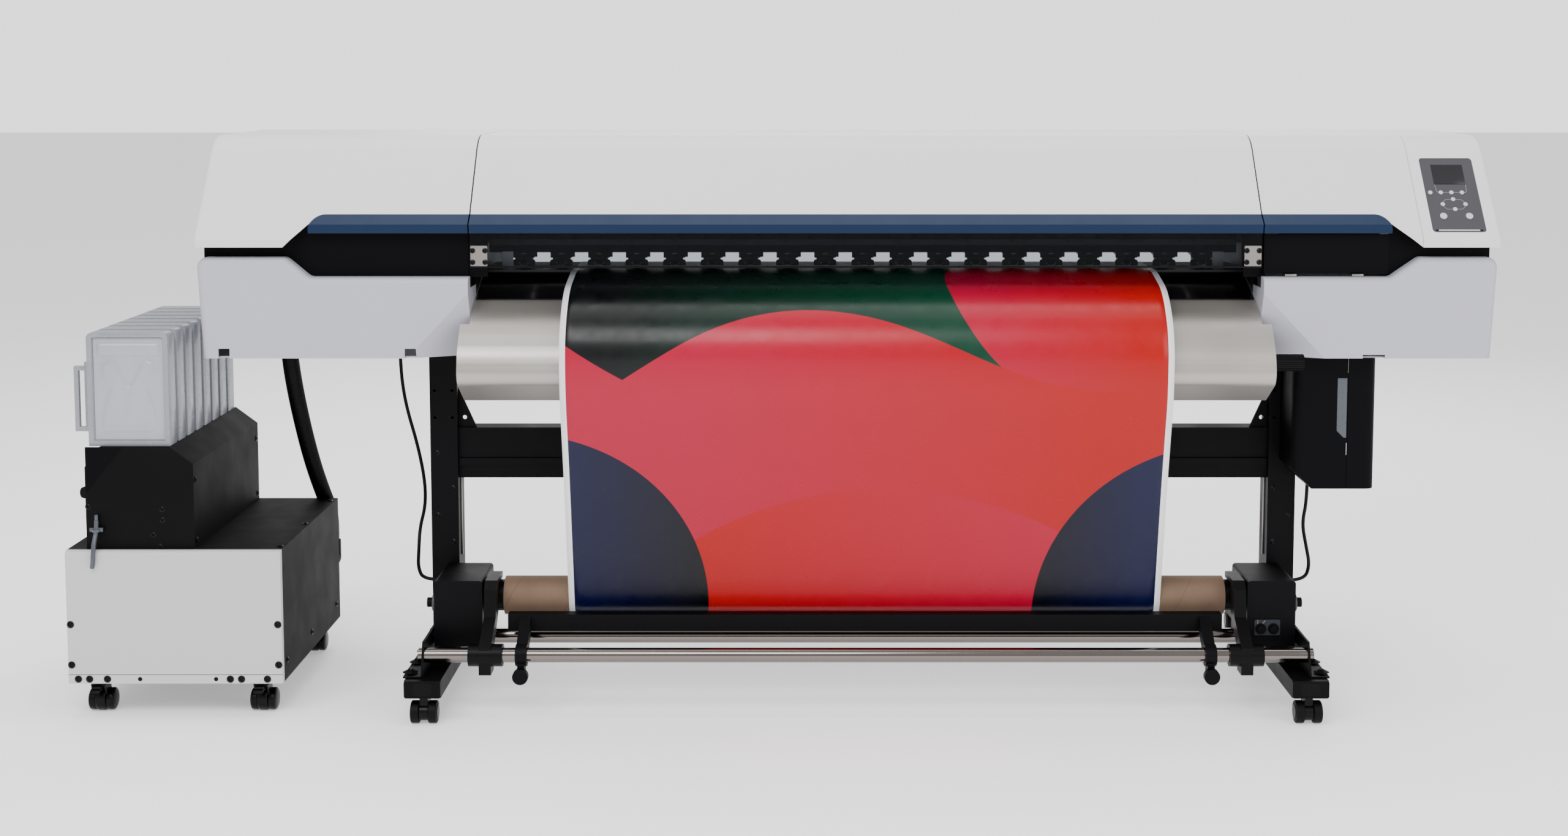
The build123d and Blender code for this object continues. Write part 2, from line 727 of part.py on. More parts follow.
def platen():
    """The flat bed under the print heads, with the slot of the feed roller and the rear guide."""
    half = OPENING_HALF - 2
    bottom = PLATEN_Z - PLATEN_DEEP
    bed = block(-half, half, PLATEN_FRONT, PLATEN_REAR, bottom, PLATEN_Z)
    bed -= block(-half - 1, half + 1, PLATEN_FRONT + PLATEN_WALL, PLATEN_REAR - PLATEN_WALL,
                 bottom + PLATEN_WALL, PLATEN_Z - PLATEN_WALL)
    rise_y = SUPPLY_Y - SUPPLY_RADIUS - 3 * MEDIA_GAP - MEDIA_THICK
    path = [(rise_y, PLATEN_Z - GUIDE_RADIUS), (rise_y, PLATEN_Z), (PLATEN_REAR, PLATEN_Z)]
    guide = along_x(sheet_section(path, [GUIDE_RADIUS - MEDIA_GAP], COVER_WALL), -half, half)
    slot = rod_x(-half - 1, half + 1, FEED_Y, PLATEN_Z - FEED_RADIUS - FEED_SINK, FEED_RADIUS + 1)
    return bed + guide - slot


def feed_roller():
    """The grit roller that drives the paper."""
    half = OPENING_HALF + 6 + FRAME_THICK
    return rod_x(-half, half, FEED_Y, PLATEN_Z - FEED_RADIUS - FEED_SINK, FEED_RADIUS)


def pinch_places():
    """The middle of each pinch roller along X."""
    return [(i - (PINCH_COUNT - 1) / 2) * PINCH_PITCH for i in range(PINCH_COUNT)]


def pinch_unit(x):
    """One pinch roller in its arm, with the guide pin it lifts on."""
    bottom = WEB_Z + MEDIA_THICK + MEDIA_GAP
    axis = bottom + PINCH_RADIUS
    half = PINCH_WIDTH / 2
    wheel = rod_x(x - 11, x + 11, FEED_Y, axis, PINCH_RADIUS)
    cap = block(x - half, x + half, FEED_Y - 26, FEED_Y + 26, axis + 13, axis + 38)
    cap = chamfer(cap.edges().filter_by(Axis.Y), 6)
    cheeks = block(x - 17, x - 12, FEED_Y - 18, FEED_Y + 18, axis - 5, axis + 16)
    cheeks += block(x + 12, x + 17, FEED_Y - 18, FEED_Y + 18, axis - 5, axis + 16)
    axle = rod_x(x - 17, x + 17, FEED_Y, axis, 3)
    pin = rod_z(axis + 37, axis + 38 + PINCH_LIFT + 12, x, FEED_Y, 4)
    return wheel + axle + cheeks + cap + pin


def pinch_rollers():
    """The row of pinch rollers, which lift together."""
    return [pinch_unit(x) for x in pinch_places()]


def front_apron():
    """The polished guide in front of the platen, wider where it stands clear of the covers."""
    base = STAND_HEIGHT
    path = [
        (PLATEN_FRONT - APRON_THICK, PLATEN_Z - 8),
        (-285, base + 122),
        (-351, base + 84),
        (-402, base + 17),
        (-411, base - 28),
        (-402, base - 51),
        (-313, base - 101),
    ]
    wide = OPENING_HALF + APRON_OVER
    sheet = along_x(sheet_section(path, easy_radii(path), APRON_THICK), -wide, wide)
    narrow = OPENING_HALF - 2
    for side in both_sides(block(narrow, wide + 1, BODY_FRONT - 3, 0, base - 30, PLATEN_Z + 5)):
        sheet -= side
    return sheet


# ---- beam and carriage ----
def y_beam():
    """The main beam with its rail, and the lower bar that holds the pinch rollers."""
    left = BODY_LEFT + 57
    right = BODY_RIGHT - 33
    z0 = STAND_HEIGHT + BEAM_RISE
    place = Pos(BEAM_FRONT + BEAM_DEEP / 2, z0 + BEAM_HIGH / 2)
    section = place * tube_section(BEAM_DEEP, BEAM_HIGH, BEAM_WALL)
    beam = along_x(section, left, right)
    rail_z = STAND_HEIGHT + RAIL_RISE
    beam += block(left, right, BEAM_FRONT - RAIL_DEEP, BEAM_FRONT, rail_z, rail_z + RAIL_HIGH)
    axis = WEB_Z + MEDIA_THICK + MEDIA_GAP + PINCH_RADIUS
    bar_z = axis + 38 + PINCH_LIFT + 3
    half = OPENING_HALF + 6
    bar = block(-half, half, FEED_Y - 24, FEED_Y + 24, bar_z, z0)
    for x in pinch_places():
        bar -= rod_z(bar_z - 1, z0 + 1, x, FEED_Y, 4 + RUN_FIT)
    return [beam, bar]


def carriage():
    """The print carriage, parked over its station at the right, with its grip on the rail."""
    x0 = CARRIAGE_PARK - CARRIAGE_WIDTH / 2
    x1 = CARRIAGE_PARK + CARRIAGE_WIDTH / 2
    bottom = PLATEN_Z + HEAD_GAP
    back = CARRIAGE_FRONT + CARRIAGE_DEEP
    rail_z = STAND_HEIGHT + RAIL_RISE
    rail_y = BEAM_FRONT - RAIL_DEEP
    top = bottom + CARRIAGE_HIGH
    body = block(x0, x1, CARRIAGE_FRONT, back, bottom, top)
    body = fillet(body.edges().filter_by(Axis.X), 8)
    arm = block(x0 + 20, x1 - 20, back - 9, rail_y - 0.5, rail_z - 22, rail_z + RAIL_HIGH + 22)
    jaws = block(x0 + 20, x1 - 20, rail_y - 0.6, BEAM_FRONT - 3, rail_z - 22, rail_z - 0.5)
    jaws += block(x0 + 20, x1 - 20, rail_y - 0.6, BEAM_FRONT - 3, rail_z + RAIL_HIGH + 0.5,
                  rail_z + RAIL_HIGH + 22)
    return body + arm + jaws


def supply_roll():
    """The unprinted roll behind the cabinet, on its shaft."""
    x_end = OPENING_HALF + 5 + HOLDER_WIDE + 8
    roll = rod_x(-MEDIA_HALF, MEDIA_HALF, SUPPLY_Y, SUPPLY_Z, SUPPLY_RADIUS)
    core = rod_x(-MEDIA_HALF - 40, MEDIA_HALF + 40, SUPPLY_Y, SUPPLY_Z, TUBE_RADIUS)
    shaft = rod_x(-x_end, x_end, SUPPLY_Y, SUPPLY_Z, SUPPLY_SHAFT)
    return roll + core + shaft


# ---- stand ----
def leg(side):
    """One leg: a square tube with a bolt pattern in its front wall."""
    x0 = side * LEG_X - LEG_WIDE / 2
    x1 = side * LEG_X + LEG_WIDE / 2
    rear = LEG_FRONT + LEG_DEEP
    tube = block(x0, x1, LEG_FRONT, rear, FOOT_TOP, STAND_HEIGHT)
    tube -= block(x0 + LEG_WALL, x1 - LEG_WALL, LEG_FRONT + LEG_WALL, rear - LEG_WALL,
                  FOOT_TOP + LEG_WALL, STAND_HEIGHT - LEG_WALL)
    for dx in (-LEG_BOLT_X / 2, LEG_BOLT_X / 2):
        for dz in (-LEG_BOLT_Z / 2, LEG_BOLT_Z / 2):
            tube -= rod_y(LEG_FRONT - 1, LEG_FRONT + LEG_WALL + 1, side * LEG_X + dx,
                          LEG_BOLT_Z0 + dz, LEG_BOLT_RADIUS)
    return tube


def foot(side):
    """One foot bar with its end plates and the bores of its casters."""
    x = side * LEG_X
    mid = (FOOT_FRONT + FOOT_REAR) / 2
    bar = Pos(x, mid, (FOOT_BOTTOM + FOOT_TOP) / 2) * Box(FOOT_WIDE, FOOT_REAR - FOOT_FRONT, FOOT_HIGH)
    bar -= block(x - FOOT_WIDE / 2 + LEG_WALL, x + FOOT_WIDE / 2 - LEG_WALL, FOOT_FRONT - 1,
                 FOOT_REAR + 1, FOOT_BOTTOM + LEG_WALL, FOOT_TOP - LEG_WALL)
    for y in (FOOT_FRONT - FOOT_CAP / 2, FOOT_REAR + FOOT_CAP / 2):
        plate = Pos(x, y, (FOOT_BOTTOM + FOOT_TOP) / 2) * Box(FOOT_WIDE, FOOT_CAP, FOOT_HIGH)
        bar += fillet(plate.edges().filter_by(Axis.Y), 5)
    for y in caster_places():
        bar -= rod_z(FOOT_BOTTOM - 1, FOOT_BOTTOM + LEG_WALL + 1, x, y, CASTER_STEM + RUN_FIT)
    return bar


def pipe_bracket():
    """The angle on a foot that holds the ends of both pipes, on the +X side."""
    x0 = OPENING_HALF + PIPE_OVER - 14
    y0, y1 = FRONT_PIPE_Y - 34, REAR_PIPE_Y + 30
    points = [
        (y0, FOOT_TOP),
        (y1, FOOT_TOP),
        (y1, REAR_PIPE_Z + REAR_PIPE + 12),
        (FRONT_PIPE_Y + 30, FRONT_PIPE_Z + FRONT_PIPE + 16),
        (FRONT_PIPE_Y - 8, FRONT_PIPE_Z + FRONT_PIPE + 16),
    ]
    upright = along_x(outline(points), x0, x0 + 5)
    shelf = block(x0, x0 + 42, y0 - 10, y1, FOOT_TOP, FOOT_TOP + 4)
    bracket = upright + shelf
    bracket -= rod_x(x0 - 1, x0 + 6, FRONT_PIPE_Y, FRONT_PIPE_Z, FRONT_PIPE)
    bracket -= rod_x(x0 - 1, x0 + 6, REAR_PIPE_Y, REAR_PIPE_Z, REAR_PIPE)
    return bracket


def stand_legs():
    """Both legs on their feet, with the brackets of the pipes."""
    pieces = [leg(-1), leg(1), foot(-1), foot(1)]
    return pieces + both_sides(pipe_bracket())


def crossbeam():
    """The beam between the legs, its step strip and the gussets beside the legs."""
    half = LEG_X - LEG_WIDE / 2
    rear = BEAM_BAR_FRONT + BEAM_BAR_DEEP
    top = BEAM_BAR_BOTTOM + BEAM_BAR_HIGH
    section = tube_section(BEAM_BAR_DEEP, BEAM_BAR_HIGH, LEG_WALL)
    place = Pos((BEAM_BAR_FRONT + rear) / 2, (BEAM_BAR_BOTTOM + top) / 2)
    beam = along_x(place * section, -half, half)
    beam += block(-half + 2, half - 2, BEAM_BAR_FRONT - 6, BEAM_BAR_FRONT + 1,
                  BEAM_BAR_BOTTOM + 30, BEAM_BAR_BOTTOM + 47)
    plate = along_y(outline([(half - GUSSET_WIDE, top), (half, top), (half, top + GUSSET_HIGH)]),
                    BEAM_BAR_FRONT + 6, BEAM_BAR_FRONT + 10)
    plate -= rod_y(BEAM_BAR_FRONT, rear, half - GUSSET_WIDE / 3, top + GUSSET_HIGH / 4, 5)
    return [beam] + both_sides(plate)


# ---- take-up ----
def drive_box():
    """A take-up box on the +X side, with its shaft, side knob and the rear pipe's hole."""
    x0, x1 = DRIVE_X, DRIVE_X + DRIVE_WIDE
    top = DRIVE_BOTTOM + DRIVE_HIGH
    body = block(x0, x1, DRIVE_FRONT, LEG_FRONT, DRIVE_BOTTOM, top)
    body = fillet(body.edges().filter_by(Axis.Y).sort_by(Axis.Z)[-2:], 8)
    body += rod_x(x0 - CHUCK_LONG + 8, x0 + 1, TUBE_Y, TUBE_Z, CHUCK_SHAFT)
    body += rod_x(x1 - 1, x1 + 9, -290, 230, 20)
    body += rod_x(x1 + 8, x1 + 22, -290, 230, 11)
    return body - rod_x(x0 - 1, x1 + 1, REAR_PIPE_Y, REAR_PIPE_Z, REAR_PIPE + RUN_FIT)


def takeup_boxes():
    """The drive box at the right, with its switch plate, and its partner at the left."""
    right = drive_box()
    right += block(DRIVE_X + 15, DRIVE_X + 76, DRIVE_FRONT - 1.5, DRIVE_FRONT + 1, 163, 202)
    for x in (DRIVE_X + 31, DRIVE_X + 60):
        right += rod_y(DRIVE_FRONT - 9, DRIVE_FRONT, x, 180, 9)
    return [right, mirrored(drive_box())]


def takeup_tube():
    """The cardboard core that the print is wound on."""
    half = DRIVE_X - DRIVE_GAP - CHUCK_LONG
    tube = rod_x(-half, half, TUBE_Y, TUBE_Z, TUBE_RADIUS)
    return tube - rod_x(-half - 1, half + 1, TUBE_Y, TUBE_Z, TUBE_RADIUS - TUBE_WALL)


def takeup_chucks():
    """The flanged plugs that carry the core on the drive shafts."""
    x1 = DRIVE_X - DRIVE_GAP
    x0 = x1 - CHUCK_LONG
    chuck = rod_x(x0, x1, TUBE_Y, TUBE_Z, CHUCK_RADIUS)
    chuck += rod_x(x0 - CHUCK_PLUG, x0 + 1, TUBE_Y, TUBE_Z, TUBE_RADIUS - TUBE_WALL)
    chuck += rod_x(x1 - 6, x1, TUBE_Y, TUBE_Z, CHUCK_RADIUS + 4)
    chuck -= rod_x(x0 + 5, x1 + 1, TUBE_Y, TUBE_Z, CHUCK_SHAFT + RUN_FIT)
    return both_sides(chuck)


def pipe(y, z, radius):
    """A long tube between the pipe brackets."""
    half = OPENING_HALF + PIPE_OVER
    return rod_x(-half, half, y, z, radius) - rod_x(-half - 1, half + 1, y, z, radius - PIPE_WALL)


def slide_pipes():
    """The front and rear pipes."""
    return [pipe(FRONT_PIPE_Y, FRONT_PIPE_Z, FRONT_PIPE), pipe(REAR_PIPE_Y, REAR_PIPE_Z, REAR_PIPE)]


def clamp():
    """A clamp on the front pipe with its arm reaching up to the core, on the +X side."""
    x = OPENING_HALF - CLAMP_INSET
    half = CLAMP_ARM / 2
    hub = rod_x(x - CLAMP_HUB / 2, x + CLAMP_HUB / 2, FRONT_PIPE_Y, FRONT_PIPE_Z, CLAMP_HUB_RADIUS)
    foot_block = block(x - half, x + half, FRONT_PIPE_Y - 22, FRONT_PIPE_Y + 22, FRONT_PIPE_Z - 40,
                       FRONT_PIPE_Z)
    top = DRIVE_BOTTOM + DRIVE_HIGH
    arm = along_x(outline([
        (FRONT_PIPE_Y - 20, FRONT_PIPE_Z),
        (FRONT_PIPE_Y + 20, FRONT_PIPE_Z),
        (-312, 212),
        (-300, top - 13),
        (TUBE_Y + 12, top - 13),
        (TUBE_Y + 12, top),
        (-326, top),
        (-343, top - 18),
        (-352, 212),
        (FRONT_PIPE_Y - 20, FRONT_PIPE_Z + 20),
    ]), x - half, x + half)
    piece = hub + foot_block + arm
    return piece - rod_x(x - CLAMP_HUB, x + CLAMP_HUB, FRONT_PIPE_Y, FRONT_PIPE_Z, FRONT_PIPE)


def pipe_clamps():
    """The two clamps beside the core."""
    return both_sides(clamp())


def tension_bar():
    """The bar that swings on the front pipe and keeps the hanging paper tight."""
    half = OPENING_HALF - BAR_INSET
    mid_z = BAR_BOTTOM + BAR_HIGH / 2
    section = Pos(BAR_Y, mid_z) * tube_section(BAR_DEEP, BAR_HIGH, BAR_WALL)
    piece = along_x(section, -half, half)
    for x in (BAR_ARM_INSET - OPENING_HALF, OPENING_HALF - BAR_ARM_INSET):
        x0, x1 = x - BAR_ARM / 2, x + BAR_ARM / 2
        ring = rod_x(x0, x1, FRONT_PIPE_Y, FRONT_PIPE_Z, FRONT_PIPE + 8)
        arm = along_x(outline([
            (FRONT_PIPE_Y - 8, FRONT_PIPE_Z + 10),
            (FRONT_PIPE_Y + 22, FRONT_PIPE_Z),
            (BAR_Y - BAR_DEEP / 2 + 1, BAR_BOTTOM + 2),
            (BAR_Y - BAR_DEEP / 2 + 1, BAR_BOTTOM + BAR_HIGH - 2),
        ]), x0, x1)
        boss = block(x - 8, x + 8, FRONT_PIPE_Y - 20, FRONT_PIPE_Y + 8, KNOB_Z, FRONT_PIPE_Z)
        knob = rod_y(FRONT_PIPE_Y - 34, FRONT_PIPE_Y - 19, x, KNOB_Z, KNOB_RADIUS)
        bore = rod_x(x0 - 1, x1 + 1, FRONT_PIPE_Y, FRONT_PIPE_Z, FRONT_PIPE + RUN_FIT)
        piece += ring + arm + boss + knob - bore
        piece -= bore
    return piece


# ---- waste tank ----
def tank_solid(inset):
    """The outside of the whole waste tank cover, taken in by an inset."""
    x0, x1 = TANK_LEFT + inset, TANK_LEFT + TANK_WIDE - inset
    y0, y1 = TANK_FRONT + inset, LEG_FRONT - inset
    z0, z1 = STAND_HEIGHT - TANK_HIGH + inset, STAND_HEIGHT - inset
    body = block(x0, x1, y0, y1, z0, z1)
    front_edges = body.edges().filter_by(Axis.Z).sort_by(Axis.Y)[:2]
    body = fillet(front_edges, TANK_ROUND - inset)
    corner = 46 + inset
    cut = along_y(outline([(x0 - 1, z0 - 1), (x0 + corner - inset, z0 - 1), (x0 - 1, z0 + corner - inset)]),
                  y0 - 1, y1 + 1)
    return body - cut


def tank_shell():
    """The whole cover as a thin wall."""
    return tank_solid(0) - tank_solid(TANK_WALL)


def waste_tank_cover():
    """The fixed part of the waste tank cover."""
    seam = TANK_LEFT + TANK_SEAM
    keep = block(TANK_LEFT - 1, seam, TANK_FRONT - 1, LEG_FRONT + 1, 0, STAND_HEIGHT + 1)
    top = STAND_HEIGHT - TANK_WALL
    roof = block(seam - 1, TANK_LEFT + TANK_WIDE - TANK_ROUND, TANK_FRONT + TANK_ROUND, LEG_FRONT,
                 top, STAND_HEIGHT)
    bottle = block(TANK_LEFT + 52, TANK_LEFT + TANK_WIDE - 20, TANK_FRONT + 24, LEG_FRONT - 8,
                   STAND_HEIGHT - TANK_HIGH + TANK_WALL + 4, STAND_HEIGHT - 60)
    tray = block(TANK_LEFT + 48, TANK_LEFT + TANK_WIDE - 16, TANK_FRONT + 20, LEG_FRONT - 1,
                 STAND_HEIGHT - TANK_HIGH + TANK_WALL, STAND_HEIGHT - TANK_HIGH + TANK_WALL + 4)
    shell = tank_shell() & keep
    return shell + roof + (bottle + tray)


def waste_tank_door():
    """The swinging corner of the waste tank cover, which opens on its rear right edge."""
    seam = TANK_LEFT + TANK_SEAM + 1
    right = TANK_LEFT + TANK_WIDE + 1
    keep = block(seam, right, TANK_FRONT - 1, LEG_FRONT - TANK_WALL - 1,
                 STAND_HEIGHT - TANK_HIGH - 1, STAND_HEIGHT - TANK_WALL - 2)
    wall = tank_shell() & keep
    inside = block(seam - 1, right - TANK_WALL - 1 - 0.001, TANK_FRONT + TANK_ROUND, LEG_FRONT,
                   STAND_HEIGHT - TANK_HIGH - 1, STAND_HEIGHT)
    return wall - inside


# ---- control panel ----
def key_places():
    """Each button's name with its place and radius on the plate."""
    keys = {}
    for i, name in enumerate(("key_menu", "key_first", "key_second", "key_third")):
        keys[name] = (KEY_ROW_X + (i - 1) * KEY_PITCH, KEY_ROW_Y, KEY_RADIUS)
    keys["key_up"] = (0, CURSOR_Y + CURSOR_RISE, KEY_RADIUS)
    keys["key_down"] = (0, CURSOR_Y - CURSOR_RISE, KEY_RADIUS)
    keys["key_left"] = (-CURSOR_HALF, CURSOR_Y, KEY_RADIUS)
    keys["key_right"] = (CURSOR_HALF, CURSOR_Y, KEY_RADIUS)
    keys["key_stop"] = (-BIG_KEY_HALF, BIG_KEY_Y, BIG_KEY_RADIUS)
    keys["key_enter"] = (BIG_KEY_HALF, BIG_KEY_Y, BIG_KEY_RADIUS)
    return keys


def panel_plate():
    """The control plate with the display window and the holes of its buttons."""
    place = panel_place(-PANEL_SINK - PANEL_THICK)
    plate = extrude(place * RectangleRounded(PANEL_WIDE, PANEL_LONG, PANEL_ROUND), PANEL_THICK)
    window = panel_place(-PANEL_SINK - DISPLAY_SINK)
    plate -= extrude(window * Pos(0, DISPLAY_Y) * Rectangle(DISPLAY_WIDE, DISPLAY_LONG), 3)
    for x, y, radius in key_places().values():
        plate -= extrude(place * Pos(x, y) * Circle(radius + KEY_GAP), PANEL_THICK + 1)
    return plate


def key(x, y, radius):
    """One button, standing a little proud of the plate."""
    foot_depth = PANEL_SINK + PANEL_THICK + KEY_TRAVEL
    stem = extrude(panel_place(-foot_depth) * Pos(x, y) * Circle(radius), foot_depth - PANEL_SINK + KEY_PROUD)
    top = stem.edges().filter_by(GeomType.CIRCLE).sort_by(Axis.Z)[-1]
    return fillet(top, 0.6)


# ---- casters ----
def caster_places():
    """Where the casters stand along a foot."""
    return (FOOT_FRONT + CASTER_INSET, FOOT_REAR - CASTER_INSET)


def caster_fork(x, y):
    """The hood and stem of a twin-wheel caster."""
    stem = rod_z(FOOT_BOTTOM - SWIVEL_GAP - 1, FOOT_BOTTOM + LEG_WALL + 8, x, y, CASTER_STEM)
    plate = rod_z(FOOT_BOTTOM - 6, FOOT_BOTTOM - SWIVEL_GAP, x, y, 18)
    half = CASTER_HOOD / 2
    hood = rod_x(x - half, x + half, y - CASTER_TRAIL, CASTER_WHEEL, CASTER_WHEEL - 6)
    neck = block(x - half, x + half, y - CASTER_TRAIL - 10, y + 12, CASTER_WHEEL + 8, FOOT_BOTTOM - 5)
    bore = rod_x(x - half - 1, x + half + 1, y - CASTER_TRAIL, CASTER_WHEEL, CASTER_AXLE + RUN_FIT)
    return stem + plate + hood + neck - bore


def caster_wheels(x, y):
    """The pair of wheels on their axle."""
    inner = CASTER_HOOD / 2 + 1
    pair = rod_x(x - inner - 1, x + inner + 1, y - CASTER_TRAIL, CASTER_WHEEL, CASTER_AXLE)
    for side in (-1, 1):
        x0, x1 = sorted((x + side * inner, x + side * (inner + CASTER_TREAD)))
        wheel = rod_x(x0, x1, y - CASTER_TRAIL, CASTER_WHEEL, CASTER_WHEEL)
        pair += fillet(wheel.edges().filter_by(GeomType.CIRCLE), 3)
    return pair


def cart_caster(x, y):
    """A cart caster: fork, wheel and brake lever."""
    plate_top = CART_BOTTOM - 6 - SWIVEL_GAP
    stem = rod_z(plate_top - 1, CART_BOTTOM + CART_WALL + 6, x, y, CASTER_STEM)
    plate = rod_z(plate_top - 5, plate_top, x, y, 22)
    axle_y = y + CART_TRAIL
    wheel = rod_x(x - CART_TREAD / 2, x + CART_TREAD / 2, axle_y, CART_WHEEL, CART_WHEEL)
    wheel = fillet(wheel.edges().filter_by(GeomType.CIRCLE), 5)
    axle = rod_x(x - 17, x + 17, axle_y, CART_WHEEL, 5)
    section = outline([
        (axle_y - 9, CART_WHEEL - 9),
        (axle_y + 9, CART_WHEEL - 9),
        (y + 20, plate_top - 4),
        (y - 20, plate_top - 4),
    ])
    cheeks = along_x(section, x - 16, x - 13) + along_x(section, x + 13, x + 16)
    lever = block(x - 10, x + 10, y - 34, y - 14, plate_top - 9, plate_top - 4)
    return stem + plate + wheel + axle + cheeks + lever


# ---- ink cart ----
def cart_caster_places():
    """The four swivel axes under the cart."""
    middle = CART_LEFT + CART_WIDE / 2
    places = {}
    for side, dx in (("left", -CART_CASTER_X), ("right", CART_CASTER_X)):
        for end, dy in (("front", CART_CASTER_FRONT), ("rear", CART_CASTER_REAR)):
            places[f"cart_caster_{end}_{side}"] = (middle + dx, CART_FRONT + dy)
    return places


def ink_base_cover():
    """The black body of the cart, open where the front panel closes it, with the hose elbow."""
    front = CART_FRONT + CART_PANEL
    body = block(CART_LEFT, CART_RIGHT, front, CART_REAR, CART_BOTTOM, CART_TOP)
    body -= block(CART_LEFT + CART_WALL, CART_RIGHT - CART_WALL, front - 1, CART_REAR - CART_WALL,
                  CART_BOTTOM + CART_WALL, CART_TOP - CART_WALL)
    for x, y in cart_caster_places().values():
        body += rod_z(CART_BOTTOM - 6, CART_BOTTOM + 1, x, y, 26)
        body -= rod_z(CART_BOTTOM - 7, CART_BOTTOM + CART_WALL + 1, x, y, CASTER_STEM + RUN_FIT)
    end = HOSE_POINTS[-1]
    radius = HOSE_DIAMETER / 2 + 3
    elbow = rod_y(CART_REAR - CART_WALL, end[1], HOSE_X, end[2] - 45, radius)
    elbow += Pos(HOSE_X, end[1], end[2] - 45) * Sphere(radius)
    elbow += rod_z(end[2] - 45, end[2], HOSE_X, end[1], radius)
    return body + elbow


def ink_side_panel():
    """The white panel on the cart's front, a shallow pan with a round top edge."""
    back = CART_FRONT + CART_PANEL
    pan = block(CART_LEFT, CART_RIGHT, CART_FRONT, back, CART_BOTTOM, CART_TOP)
    top_edge = pan.edges().filter_by(Axis.X).sort_by(Axis.Z)[-2:].sort_by(Axis.Y)[0]
    pan = fillet(top_edge, 12)
    hollow = block(CART_LEFT + CART_WALL, CART_RIGHT - CART_WALL, CART_FRONT + CART_WALL, back + 1,
                   CART_BOTTOM + CART_WALL, CART_TOP - CART_WALL)
    edge = hollow.edges().filter_by(Axis.X).sort_by(Axis.Z)[-2:].sort_by(Axis.Y)[0]
    return pan - fillet(edge, 12 - CART_WALL)


def ink_housing():
    """The black housing under the ink cases, with its sloping top corners."""
    x0 = CART_LEFT + HOUSING_INSET
    x1 = x0 + HOUSING_WIDE
    points = [
        (x0, CART_TOP),
        (x1, CART_TOP),
        (x1, HOUSING_TOP - 39),
        (x1 - 52, HOUSING_TOP),
        (x0 + 34, HOUSING_TOP),
        (x0, HOUSING_TOP - 46),
    ]
    y0 = CART_FRONT + HOUSING_FRONT
    y1 = y0 + HOUSING_DEEP
    shell = along_y(outline(points), y0, y1)
    inner = inset_points(points, CART_WALL)
    inner[0] = (inner[0][0], CART_TOP - 1)
    inner[1] = (inner[1][0], CART_TOP - 1)
    return shell - along_y(outline(inner), y0 + CART_WALL, y1 - CART_WALL)


def ink_case(y0):
    """One ink case standing on the housing, with its handle to the left."""
    x0 = CART_LEFT + CASE_INSET
    x1 = x0 + CASE_WIDE
    top = HOUSING_TOP + CASE_HIGH
    body = block(x0, x1, y0, y0 + CASE_THICK, HOUSING_TOP, top)
    body = fillet(body.edges().filter_by(Axis.Y).sort_by(Axis.Z)[-2:], 10)
    z0 = HOUSING_TOP + HANDLE_RISE
    z1 = z0 + HANDLE_HIGH
    mid = y0 + CASE_THICK / 2
    half = HANDLE_THICK / 2
    grip = block(x0 - HANDLE_OUT, x0 + 1, mid - half, mid + half, z0, z1)
    grip -= block(x0 - HANDLE_OUT + HANDLE_BAR, x0, mid - half - 1, mid + half + 1,
                  z0 + HANDLE_BAR, z1 - HANDLE_BAR)
    return body + grip


def ink_cases():
    """The row of ink cases."""
    first = CART_FRONT + CASE_START
    return [ink_case(first + i * CASE_PITCH) for i in range(CASE_COUNT)]


# ---- cords: each route is a list of points from its gland to its far end ----
HOSE_POINTS = [
    (HOSE_X, -161.0, STAND_HEIGHT),
    (HOSE_X, -161.0, 727.0),
    (HOSE_X - 4, -122.0, 642.0),
    (HOSE_X - 5, -40.0, 548.0),
    (HOSE_X - 3, 64.0, 462.0),
    (HOSE_X - 1, 156.0, 396.0),
    (HOSE_X, 206.0, 326.0),
    (HOSE_X, 206.0, 256.0),
]
LEFT_CABLE_POINTS = [
    (-1088.0, -130.0, STAND_HEIGHT),
    (-1088.0, -130.0, 745.0),
    (-1078.0, -126.0, 660.0),
    (-1052.0, -124.0, 565.0),
    (-1036.0, -125.0, 480.0),
    (-1034.0, -132.0, 420.0),
    (-1046.0, -144.0, 370.0),
    (-1044.0, -172.0, 322.0),
    (-1038.0, -214.0, 290.0),
    (-1018.0, -248.0, 272.0),
    (-DRIVE_X - DRIVE_WIDE, -248.0, 272.0),
]
RIGHT_CABLE_POINTS = [
    (1034.0, -196.0, STAND_HEIGHT - TANK_HIGH),
    (1034.0, -196.0, 445.0),
    (1025.0, -193.0, 392.0),
    (1036.0, -188.0, 340.0),
    (1042.0, -206.0, 294.0),
    (1020.0, -240.0, 268.0),
    (DRIVE_X + DRIVE_WIDE, -240.0, 268.0),
]


def cord(name, points, diameter):
    """A free cord's tube: straight runs joined by arcs as large as they allow."""
    vectors = [Vector(*p) for p in points]
    radii = []
    for i in range(1, len(vectors) - 1):
        first = vectors[i] - vectors[i - 1]
        second = vectors[i + 1] - vectors[i]
        half_turn = math.radians(first.get_angle(second)) / 2
        radii.append(0.45 * min(first.length, second.length) / math.tan(half_turn))
    path = FilletPolyline(*vectors, radius=radii)
    start = Plane(origin=path @ 0, z_dir=path % 0)
    tube = sweep(start * Circle(diameter / 2), path=path)
    share = tube.volume / (math.pi * diameter ** 2 / 4 * path.length)
    smallest = ", ".join(f"{r:.0f}" for r in radii)
    print(f"{name}: length {path.length:.0f} mm, radii {smallest}, volume over section {share:.4f}")
    return tube


